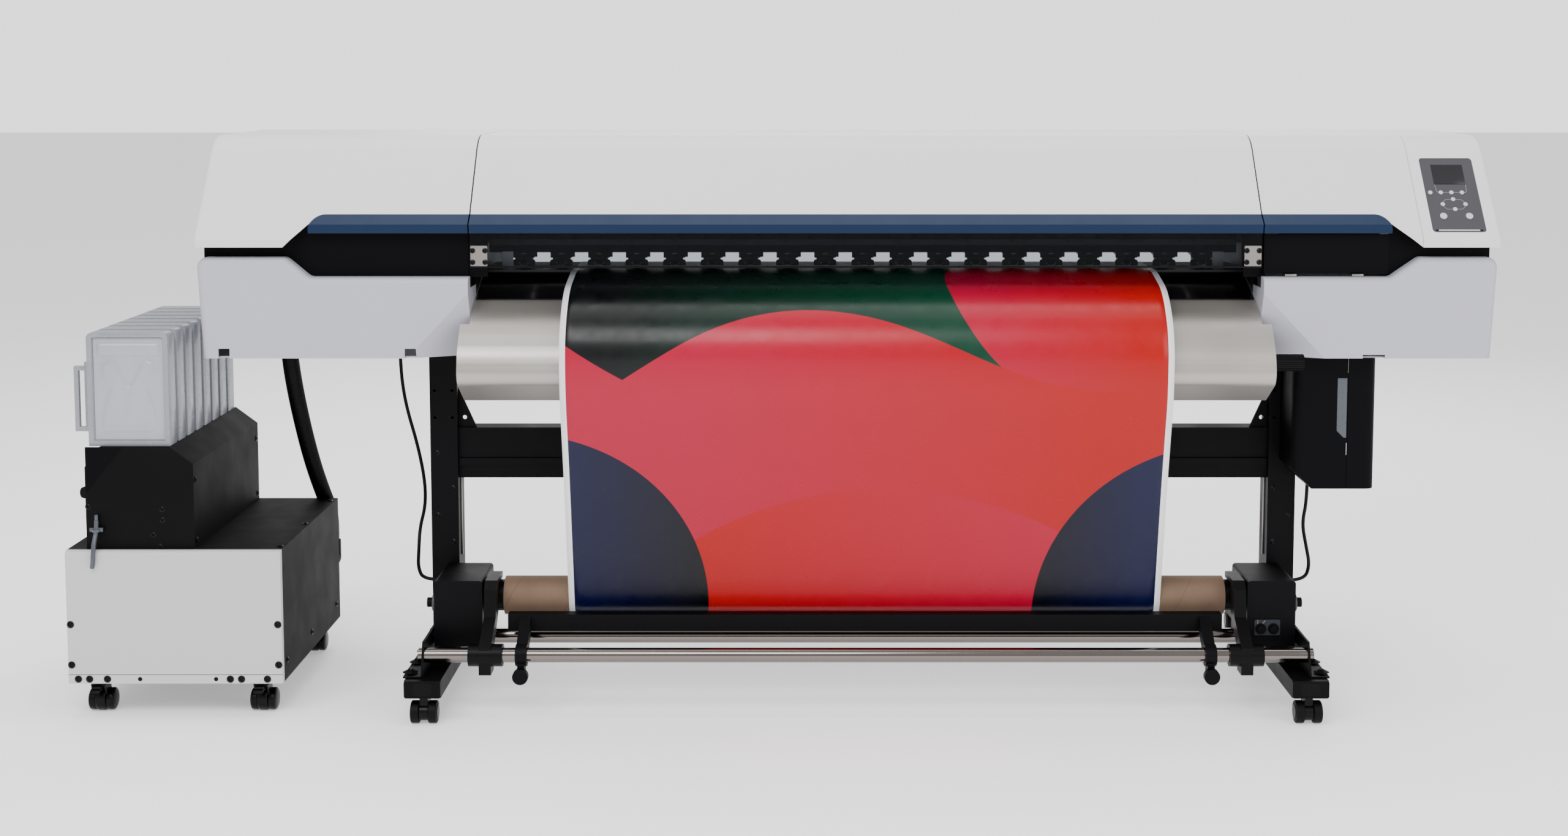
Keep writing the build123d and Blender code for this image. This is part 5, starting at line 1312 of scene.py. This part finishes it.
@dataclass
class PrintZone:
    """The face of the pinch bar, its hooks and screws, and the glossy guide ahead of the platen."""

    front: float = -0.0940
    bands: tuple[tuple[float, float, str], ...] = (
        (1.018, 1.035, "recess_black"), (1.035, 1.049, "rail_grey"), (1.049, 1.074, "frame_black"),
    )
    screw_pitch: float = 0.062
    hook_pitch: float = 0.133
    guide_wide: float = 0.128
    guide_slope: float = -0.386

    def build(self, paint: Paintbox) -> None:
        """Models the bands, the hooks, the screws and the guide."""
        low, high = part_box("front_window")
        front = PAPER_CENTRE.y + self.front
        for number, (bottom, top, slot) in enumerate(self.bands):
            proud = 0.0008 * number
            band = Workpiece.block(
                f"pinch_bar_band_{number}", Vector((low.x + 0.004, front - proud, bottom)),
                Vector((high.x - 0.004, front + 0.0012, top)),
            )
            band.soften(0.0004, 1).finish(paint, slot, "root")
        span = high.x - low.x - 0.05
        count = round(span / self.screw_pitch)
        middles = [low.x + 0.025 + span * step / count for step in range(count + 1)]
        places = [(Vector((middle, front - 0.0016, 1.0570)), FRONT) for middle in middles]
        Screws("pinch_bar_screws", 0.0030, places).build(paint)
        hook = Workpiece.rod("pinch_bar_hooks", Vector((0, 0, 0)), 0.0055, 0.0016, Axis.Y, 3)
        hook.soften(0.0004, 1)
        count = round(span / self.hook_pitch)
        middles = [low.x + 0.06 + span * step / count for step in range(count)]
        spots = [
            Vector((middle + side * 0.0155, front - 0.0012, 1.0455)) for middle in middles for side in (-1, 1)
        ]
        hook.repeat(Matrix.Translation(at) for at in spots)
        hook.finish(paint, "recess_black", "root")
        platen_low, platen_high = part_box("platen")
        guide = Workpiece.block(
            "platen_guide", Vector((platen_low.x + 0.003, -self.guide_wide, -0.0008)),
            Vector((platen_high.x - 0.003, 0.0, 0.0008)),
        )
        guide.soften(0.0006, 2)
        lip = Vector((0.0, spot(0, -163, 0).y, 0.9770))
        guide.repeat([Matrix.Translation(lip) @ Matrix.Rotation(-self.guide_slope, 4, "X")])
        guide.finish(paint, "guide_black", "root")
        ends = []
        for side in (-1, 1):
            inner, outer = sorted((PAPER_CENTRE.x + side * 0.824, PAPER_CENTRE.x + side * 0.850))
            end = Workpiece.block(
                "pinch_bar_end_plates", Vector((inner, front - 0.004, 0.986)), Vector((outer, front, 1.020))
            )
            end.soften(0.0008, 2)
            ends.append(end)
        ends[0].join(ends[1]).finish(paint, "cover_grey_white", "root")


@dataclass
class PinchUnits:
    """The front plate, feet and pins of every pinch roller unit."""

    pitch: float = 0.089
    count: int = 19
    plate_wide: float = 0.051
    plate_high: float = 0.023
    plate_bottom: float = 1.0045

    def build(self, paint: Paintbox) -> None:
        """Models one unit's plate and copies it along the bar."""
        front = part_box("pinch_rollers")[0].y
        half = self.plate_wide / 2
        plate = Workpiece.block(
            "pinch_unit_plates", Vector((-half, front - 0.0020, self.plate_bottom)),
            Vector((half, front + 0.004, self.plate_bottom + self.plate_high)),
        )
        plate.pick_faces(faces_front).inset(0.0030)
        plate.inset(0.0008, -0.0010)
        plate.pick_edges(runs_deep).round_off(0.0016, 2)
        plate.leave()
        ear = Workpiece.block(
            "ear", Vector((half - 0.001, front - 0.0010, self.plate_bottom + 0.002)),
            Vector((half + 0.0065, front + 0.002, self.plate_bottom + 0.019)),
        )
        ear.soften(0.0008, 2)
        waist = Workpiece.block(
            "waist", Vector((-half * 0.80, front - 0.0012, self.plate_bottom - 0.0065)),
            Vector((half * 0.80, front + 0.003, self.plate_bottom + 0.001)),
        )
        waist.soften(0.0008, 2)
        feet = []
        for side in (-1, 1):
            foot = Workpiece.block(
                "foot", Vector((side * half * 0.72 - 0.0085, front - 0.0030, 0.9865)),
                Vector((side * half * 0.72 + 0.0085, front + 0.003, self.plate_bottom - 0.004)),
            )
            foot.pick_edges(
                lambda middle, along: runs_deep(middle, along) and middle.z > self.plate_bottom - 0.005
            ).round_off(0.0055, 3)
            foot.leave()
            feet.append(foot)
        plate.join(ear, waist, *feet)
        middle = PAPER_CENTRE.x
        spots = [middle + (number - (self.count - 1) / 2) * self.pitch for number in range(self.count)]
        plate.repeat(Matrix.Translation((x, 0.0, 0.0)) for x in spots)
        plate.finish(paint, "black_plastic", "pinch_rollers")
        axle = Vector((0.0, front - 0.0014, 1.0145))
        pin = Workpiece.rod("pinch_unit_pins", axle, 0.0009, 0.011, Axis.X, 10)
        pin.leave()
        tip = Workpiece.rod("tip", Vector((0.0, front - 0.0034, 0.9925)), 0.0011, 0.004, Axis.X, 10)
        tip.repeat([Matrix.Translation((-0.010, 0, 0)), Matrix.Translation((0.010, 0, 0))])
        pin.join(tip)
        pin.repeat(Matrix.Translation((x, 0.0, 0.0)) for x in spots)
        pin.finish(paint, "zinc_plate", "pinch_rollers")


@dataclass
class SideGrip:
    """The ribbed hand grip and its stop beside the right end of the apron."""

    radius: float = 0.019
    ribs: int = 24

    def build(self, paint: Paintbox) -> None:
        """Models the grip with grooves along it, its end cap and the stop block."""
        start, end, axis = spot(892, -380, 798), spot(972, -380, 798), spot(932, -380, 798)
        grip = Workpiece.rod("side_grip", axis, self.radius, end.x - start.x, Axis.X, self.ribs * 2)
        step = math.tau / (self.ribs * 2)

        def groove(middle: Vector, normal: Vector) -> bool:
            """True on every other face round the grip."""
            turn = math.atan2(middle.z - axis.z, middle.y - axis.y) % math.tau
            return abs(normal.x) < 0.5 and int(turn / step) % 2 == 0

        grip.pick_faces(groove).inset(0.0004, -0.0013)
        grip.pick_faces(lambda middle, normal: normal.x > 0.9).inset(0.003, 0.0008)
        grip.leave()
        hub = Workpiece.rod("hub", start + Vector((0.004, 0, 0)), self.radius + 0.001, 0.010, Axis.X, 40)
        hub.soften(0.001, 2)
        stop = Workpiece.block("stop", spot(889, -388, 812), spot(903, -366, 830))
        stop.pick_edges(lambda middle, along: runs_deep(middle, along) and middle.z > 0.829)
        stop.round_off(0.006, 4)
        stop.leave()
        grip.join(hub, stop).finish(paint, "black_plastic", "root", 30.0)


@dataclass
class PanelMarks:
    """The display glass, the thin outlines that tie the keys together and the light bar with its dark ends.
    """

    display: tuple[float, float] = (0.071, 0.052)
    display_up: float = 0.0557
    line: float = 0.0009
    high: float = 0.00025
    gap: float = 0.0003
    steps: int = 160
    body: str = "root"

    def plane(self) -> Matrix:
        """The panel's own place: X along it, Y up it and Z out of it."""
        low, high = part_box("panel_plate")
        out = Vector((0.0, -0.790, 0.613)).normalized()
        up = Vector((1.0, 0.0, 0.0)).cross(out) * -1
        middle = (low + high) / 2
        reach = max(vertex.co.dot(out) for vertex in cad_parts["panel_plate"].data.vertices)
        middle += out * (reach - middle.dot(out))
        turn = Matrix((Vector((1.0, 0.0, 0.0)), up, out)).transposed().to_4x4()
        return Matrix.Translation(middle) @ turn

    def key_patches(self, plane: Matrix) -> list[tuple[Vector, Vector]]:
        """The lowest and highest corner of each key's outline in the panel's plane."""
        flat = plane.inverted()
        patches = []
        for key in ControlPanel.keys:
            corners = [flat @ vertex.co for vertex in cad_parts[f"key_{key}"].data.vertices]
            across, up = [corner.x for corner in corners], [corner.y for corner in corners]
            patches.append((Vector((min(across), min(up))), Vector((max(across), max(up)))))
        return patches

    def free_runs(self, start: Vector, end: Vector, patches: Sequence[tuple[Vector, Vector]]) -> list:
        """The parts of a straight line that no key stands on.

        Args:
            start: The line's first point.
            end: Its last point.
            patches: The keys' outlines.

        Returns:
            Each free part's two ends.
        """
        runs, open_at, last = [], None, start
        for step in range(self.steps + 1):
            at = start.lerp(end, step / self.steps)
            taken = any(
                low.x - self.gap < at.x < high.x + self.gap and low.y - self.gap < at.y < high.y + self.gap
                for low, high in patches
            )
            if not taken and open_at is None:
                open_at = at
            if open_at is not None and (taken or step == self.steps):
                runs.append((open_at, last if taken else at))
                open_at = None
            last = at
        return [(first, final) for first, final in runs if (final - first).length > self.line]

    def bar(self, first: Vector, last: Vector) -> Workpiece:
        """One straight printed line between two points of the panel."""
        run = last - first
        half = run.length / 2
        stroke = Workpiece.block(
            "stroke", Vector((-half, -self.line / 2, -0.0002)), Vector((half, self.line / 2, self.high))
        )
        turn = Matrix.Rotation(math.atan2(run.y, run.x), 4, "Z")
        return stroke.repeat([Matrix.Translation(((first + last) / 2).to_3d()) @ turn])

    def chain(self, points: Sequence[tuple[float, float]]) -> list[Workpiece]:
        """Lines through several points, in millimetres, that stop at the keys."""
        spots = [Vector(point) * MM for point in points]
        patches = self.key_patches(self.plane())
        runs = [run for start, end in zip(spots, spots[1:]) for run in self.free_runs(start, end, patches)]
        return [self.bar(first, last) for first, last in runs]

    def build(self, paint: Paintbox) -> None:
        """Models all of it in the panel's plane and then sets it in place."""
        plane = self.plane()
        wide, tall = self.display
        glass = Workpiece.block(
            "display_glass", Vector((-wide / 2, self.display_up - tall / 2, -0.001)),
            Vector((wide / 2, self.display_up + tall / 2, 0.0006)),
        )
        glass.pick_faces(lambda middle, normal: normal.z > 0.9).inset(0.0018, -0.0004)
        glass.leave()
        glass.repeat([plane]).finish(paint, "display_glass", self.body)
        strokes = self.chain([(-35, 28), (-33, 10), (-30, 6.5), (-17, 6.5)])
        strokes += self.chain([(-17, 6.5), (27, 6.5), (31, 6.5), (34, 10), (35, 28)])
        for side in (-1, 1):
            strokes += self.chain([(0, -11.8), (side * 17, -12.5), (side * 23, -18), (side * 25.5, -25.3)])
            strokes += self.chain([(side * 25.5, -25.3), (side * 23, -33), (side * 17, -38.2), (0, -38.8)])
        strokes[0].join(*strokes[1:])
        strokes[0].thing.name = "panel_outlines"
        strokes[0].repeat([plane]).finish(paint, "outline_pale", self.body)
        corner = Vector((-0.046, -0.0966, -0.0005))
        lamp = Workpiece.block("panel_light_bar", corner, Vector((0.046, -0.0934, 0.0008)))
        lamp.soften(0.0006, 2)
        lamp.repeat([plane]).finish(paint, "light_bar", self.body)
        ends = []
        for side in (-1, 1):
            end = Workpiece.block(
                "panel_light_ends", Vector((side * 0.0495 - 0.0030, -0.0966, -0.0005)),
                Vector((side * 0.0495 + 0.0030, -0.0934, 0.0006)),
            )
            end.soften(0.0004, 1)
            ends.append(end)
        ends[0].join(ends[1])
        ends[0].repeat([plane]).finish(paint, "recess_black", self.body)


@dataclass
class DoorHinges:
    """The two small bright hinge leaves under the maintenance door."""

    places: tuple[float, float] = (952.0, 1102.0)
    wide: float = 0.026

    def build(self, paint: Paintbox) -> None:
        """Models the leaves on the door."""
        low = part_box("maintenance_door")[0]
        leaves = []
        for x in self.places:
            middle = spot(x, 0, 0).x
            leaf = Workpiece.block(
                "door_hinge_leaves", Vector((middle - self.wide / 2, low.y - 0.0008, low.z - 0.001)),
                Vector((middle + self.wide / 2, low.y, low.z + 0.0045)),
            )
            leaf.soften(0.0004, 2)
            leaves.append(leaf)
        leaves[0].join(leaves[1]).finish(paint, "zinc_plate", "maintenance_door")


@dataclass
class StandFittings:
    """Screws, end plates and edge strips of the legs, feet and pipe brackets."""

    leg_x: float = 0.982
    strip_wide: float = 0.004

    def build(self, paint: Paintbox) -> None:
        """Models the screws, the foot plates and the inner strips."""
        legs: list[tuple[Vector, Vector]] = []
        bolts: list[tuple[Vector, Vector]] = []
        plates, strips = [], []
        foot_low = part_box("stand_legs")[0]
        front = spot(0, -164, 0).y
        shelf = spot(0, 0, 106).z
        for side in (-1, 1):
            leg = PAPER_CENTRE.x + side * self.leg_x
            legs += [(Vector((leg + side * 0.016, front, z)), FRONT) for z in (0.553, 0.405)]
            legs += [(Vector((leg - side * 0.020, front, z)), FRONT) for z in (0.470, 0.342)]
            outside = PAPER_CENTRE.x + side * 1.016
            bolts += [(Vector((outside, spot(0, y, 0).y, shelf)), UP) for y in (-428.0, -352.0, -268.0)]
            plate = Workpiece.block(
                "foot_end_plates", Vector((leg - 0.021, foot_low.y - 0.0002, 0.068)),
                Vector((leg + 0.021, foot_low.y + 0.001, 0.097)),
            )
            plate.pick_edges(runs_deep).round_off(0.009, 5)
            plate.soften(0.0006, 1)
            plates.append(plate)
            inner = leg - side * 0.032
            strip = Workpiece.block(
                "leg_strips", Vector((min(inner, inner - side * 0.0035), front + 0.030, 0.303)),
                Vector((max(inner, inner - side * 0.0035), front + 0.030 + self.strip_wide, 0.489)),
            )
            strip.soften(0.0006, 2)
            strips.append(strip)
        Screws("leg_screws", 0.0034, legs).build(paint)
        Screws("bracket_bolts", 0.0075, bolts, proud=0.8).build(paint)
        plates[0].join(plates[1]).finish(paint, "black_plastic", "root")
        strips[0].join(strips[1]).finish(paint, "zinc_plate", "root")


@dataclass
class TakeUpFittings:
    """The switch plate with its two rings and two marks, and the grey discs."""

    switches: tuple[float, float] = (901.0, 930.0)

    def build(self, paint: Paintbox) -> None:
        """Models the plate, the rings and the discs."""
        face = spot(0, -331.5, 0).y
        plate = Workpiece.block("switch_plate", spot(887, -332.2, 164.5), spot(945, -331.4, 200.5))
        plate.pick_edges(runs_deep).round_off(0.003, 3)
        plate.leave()
        plate.finish(paint, "switch_grey", "root")
        rings = []
        for x in self.switches:
            middle = Vector((spot(x, 0, 0).x, face - 0.0018, 0.180))
            ring = Workpiece.rod("switch_rings", middle, 0.0125, 0.003, Axis.Y, 40)
            ring.pick_faces(faces_front).inset(0.0030)
            ring.inset(0.0004, -0.0016)
            ring.leave()
            ring.soften(0.0004, 2, 40.0)
            rings.append(ring)
        rings[0].join(rings[1]).finish(paint, "black_plastic", "root")
        reach = Vector((0.0006, 0.0003, 0.0045))
        mark = Workpiece.block("switch_mark", -reach, reach)
        places = [spot(x, -333.0, 195.5) for x in (894.0, 908.0)]
        leans = (0.0, math.radians(40))
        mark.repeat(Matrix.Translation(at) @ Matrix.Rotation(lean, 4, "Y") for at, lean in zip(places, leans))
        mark.finish(paint, "outline_pale", "root")
        discs = []
        for side in (-1, 1):
            middle = Vector((PAPER_CENTRE.x + side * (0.980 + 0.0048), spot(0, -290, 0).y, 0.230))
            disc = Workpiece.rod("side_discs", middle, 0.0205, 0.0088, Axis.X, 40)
            disc.soften(0.0012, 3, 40.0)
            discs.append(disc)
        discs[0].join(discs[1]).finish(paint, "knob_grey", "root")


@dataclass
class TankFittings:
    """The milky level strip of the waste tank and its seam clip."""

    def build(self, paint: Paintbox) -> None:
        """Models the strip with its cut-off lower corner."""
        strip = Workpiece.block("tank_level_strip", spot(1074.5, -290.6, 612), spot(1096.5, -289.5, 749))
        corner = spot(1080, 0, 620)
        strip.pick_edges(
            lambda middle, along: runs_deep(middle, along) and middle.z < corner.z and middle.x < corner.x
        ).round_off(0.016, 1)
        strip.leave()
        strip.soften(0.0003, 1)
        strip.finish(paint, "tank_strip", "root")
        clip = Workpiece.block("tank_seam_clip", spot(1096.6, -290.4, 572), spot(1097.8, -289.0, 600))
        clip.soften(0.0002, 1)
        clip.finish(paint, "light_bar", "root")


@dataclass
class CartFittings:
    """The cart's screws, lower lip, drain spout, lever and the brake pedals of its casters."""

    screw: float = 0.0048
    wheel: float = 0.0255

    def spout(self, paint: Paintbox) -> None:
        """Models the stiff drain spout: a clamp ring, a clear elbow and its bent tip."""
        route = Route("drain_spout", [
            spot(-1716, -401, 446), spot(-1716, -404, 420), spot(-1717, -418, 398), spot(-1718, -424, 372),
            spot(-1719, -424, 352), spot(-1722, -421, 344),
        ], 0.005)
        bare = route.curve(route.radius)
        deselect_all()
        bare.select_set(True)
        bpy.context.view_layer.objects.active = bare
        bpy.ops.object.convert(target="MESH")
        tube = Workpiece("drain_spout")
        ring = Workpiece.rod("ring", spot(-1716, -403, 424), 0.0095, 0.007, Axis.Z, 24)
        ring.soften(0.001, 2)
        wings = Workpiece.block("wings", spot(-1731, -405, 421), spot(-1701, -401, 430))
        wings.soften(0.001, 2)
        nose = Workpiece.rod("nose", spot(-1716, -401, 452), 0.0040, 0.014, Axis.Z, 20)
        nose.soften(0.0008, 2)
        tube.join(ring, wings, nose).finish(paint, "tank_strip", "root", 40.0)

    def screws(self, paint: Paintbox) -> None:
        """Sets the screws of the panel, its lip and the housing."""
        low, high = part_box("ink_side_panel")
        left, right, face = low.x, high.x, low.y
        panel = [(Vector((x, face, z)), FRONT) for x in (left + 0.008, right - 0.008) for z in (0.213, 0.121)]
        along = (0.022, 0.047, 0.087, 0.362, 0.387, 0.445)
        lip = [(Vector((left + across, face, 0.0885)), FRONT) for across in along]
        Screws("cart_panel_screws", self.screw, panel + lip).build(paint)
        small = [(Vector((left + across, face, 0.0885)), FRONT) for across in (0.160, 0.330)]
        Screws("cart_lip_screws", 0.0028, small).build(paint)
        housing_low, housing_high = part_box("ink_housing")
        front = housing_low.y
        marks = ((-1570, 470), (-1570, 446), (-1591, 412), (-1577, 386), (-1735, 476))
        heads = [(Vector((spot(x, 0, 0).x, front, z * MM)), FRONT) for x, z in marks]
        side = housing_high.x
        heads += [(Vector((side, front + back, z)), RIGHT) for back in (0.012, 0.505) for z in (0.535, 0.398)]
        body_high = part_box("ink_base_cover")[1]
        backs = [spot(0, y, 0).y for y in (-372.0, -150.0, 95.0)]
        heads += [(Vector((body_high.x - 0.010, y, body_high.z)), UP) for y in backs]
        heads += [(Vector((body_high.x, y, 0.120)), RIGHT) for y in backs]
        Screws("cart_body_screws", 0.0042, heads).build(paint)

    def build(self, paint: Paintbox) -> None:
        """Models the fittings."""
        self.screws(paint)
        self.spout(paint)
        low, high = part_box("ink_side_panel")
        seam = Workpiece.block("cart_panel_seam", Vector((low.x, low.y - 0.0002, 0.0978)),
                               Vector((high.x, low.y + 0.001, 0.0988)))
        seam.leave()
        seam.finish(paint, "recess_black", "root")
        lever = Workpiece.block("cart_lever", spot(-1754, -392, 494), spot(-1741, -384, 520))
        lever.pick_edges(
            lambda middle, along: runs_deep(middle, along) and middle.x < spot(-1750, 0, 0).x
        ).round_off(0.009, 2)
        lever.leave()
        lever.finish(paint, "black_plastic", "root")
        low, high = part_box("ink_housing")
        outline = [(-1741, 381), (-1499, 381), (-1499, 572), (-1548, 610), (-1655, 610), (-1738, 507)]
        slab = Workpiece.block("housing_front_plate", Vector((0, 0, 0)), Vector((1, 1, 1)))
        mesh = bmesh.new()
        rings = [
            [mesh.verts.new((spot(x, 0, 0).x, low.y - out, z * MM)) for x, z in outline]
            for out in (0.0016, -0.0004)
        ]
        mesh.faces.new(rings[0])
        mesh.faces.new(list(reversed(rings[1])))
        for number in range(len(outline)):
            following = (number + 1) % len(outline)
            mesh.faces.new((rings[0][following], rings[0][number], rings[1][number], rings[1][following]))
        bmesh.ops.recalc_face_normals(mesh, faces=mesh.faces)
        mesh.to_mesh(slab.thing.data)
        mesh.free()
        slab.soften(0.0006, 2)
        slab.finish(paint, "cart_black", "root")
        # Painted shade: a darker sheet on the housing's upper left front, behind the slanted corner of the
        # front plate, stands in for the shade in the recess there.
        shadow = Workpiece.block(
            "housing_painted_recess_shade", Vector((low.x + 0.002, low.y - 0.0006, 0.505)),
            Vector((low.x + 0.090, low.y + 0.001, 0.6105)),
        )
        shadow.soften(0.0004, 1)
        shadow.finish(paint, "recess_black", "root")
        for end in ("front", "rear"):
            for side in ("left", "right"):
                self.caster(paint, f"cart_caster_{end}_{side}")

    def caster(self, paint: Paintbox, node: str) -> None:
        """Gives a cart caster its twin wheel covers, hood and brake pedal."""
        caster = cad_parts[node].data
        bottom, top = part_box(node)
        tread = [vertex.co.y for vertex in caster.vertices if vertex.co.z < bottom.z + 0.003]
        hub = Vector(((bottom.x + top.x) / 2, sum(tread) / len(tread), bottom.z + self.wheel))
        pieces = []
        for side in (-1, 1):
            middle = hub + Vector((side * 0.0190, 0, 0.0005))
            cover = Workpiece.rod("cover", middle, self.wheel - 0.0005, 0.0150, Axis.X, 40)
            cover.pick_faces(lambda middle, normal: normal.x * side > 0.9).inset(0.006, 0.0025)
            cover.inset(0.009, 0.0012)
            cover.leave()
            pieces.append(cover.soften(0.0030, 3, 40.0))
        hood = Workpiece.rod("hood", hub + Vector((0, 0, 0.004)), self.wheel + 0.002, 0.024, Axis.X, 40)
        pieces.append(hood.soften(0.002, 2, 40.0))
        pedal = Workpiece.block(
            "pedal", Vector((hub.x - 0.011, bottom.y - 0.004, 0.0575)), Vector((hub.x + 0.011, hub.y, 0.0615))
        )
        pedal.pick_faces(faces_front).pull(Vector((0.0, -0.004, -0.0030)))
        pieces.append(pedal.leave().soften(0.0010, 2))
        pieces[0].join(*pieces[1:])
        pieces[0].thing.name = f"caster_covers_{node[12:]}"
        pieces[0].finish(paint, "caster_black", node, 40.0)


@dataclass
class HubCaps:
    """The domed caps on the printer's twin casters."""

    radius: float = 0.0165

    def build(self, paint: Paintbox) -> None:
        """Models two caps on every pair of wheels."""
        for end in ("front", "rear"):
            for side in ("left", "right"):
                low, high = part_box(f"caster_wheels_{end}_{side}")
                middle = (low + high) / 2
                caps = []
                for x, out in ((low.x, -1), (high.x, 1)):
                    at = Vector((x + out * 0.0004, middle.y, middle.z))
                    cap = Workpiece.rod(f"hub_caps_{end}_{side}", at, self.radius, 0.0016, Axis.X, 32)
                    cap.pick_faces(lambda centre, normal: normal.x * out > 0.9).inset(0.0045, 0.0006)
                    cap.inset(0.006, -0.0005)
                    cap.leave()
                    cap.soften(0.0003, 2, 40.0)
                    caps.append(cap)
                caps[0].join(caps[1]).finish(paint, "caster_black", f"wheels_{end}_{side}", 40.0)


def main() -> None:
    """Builds every sub-assembly in order."""
    logging.basicConfig(level=logging.INFO, format="%(name)s: %(message)s")
    paint = Paintbox()
    Studio().build()
    Cords().build(paint)
    Cabinet().build(paint)
    Stand().build(paint)
    InkCart().build(paint)
    ControlPanel().build(paint)
    PrintedWeb().build(paint)
    InkCases().build(paint)
    WindowFittings().build(paint)
    PrintZone().build(paint)
    PinchUnits().build(paint)
    SideGrip().build(paint)
    PanelMarks().build(paint)
    DoorHinges().build(paint)
    StandFittings().build(paint)
    TakeUpFittings().build(paint)
    TankFittings().build(paint)
    CartFittings().build(paint)
    HubCaps().build(paint)


if __name__ == "__main__":
    main()
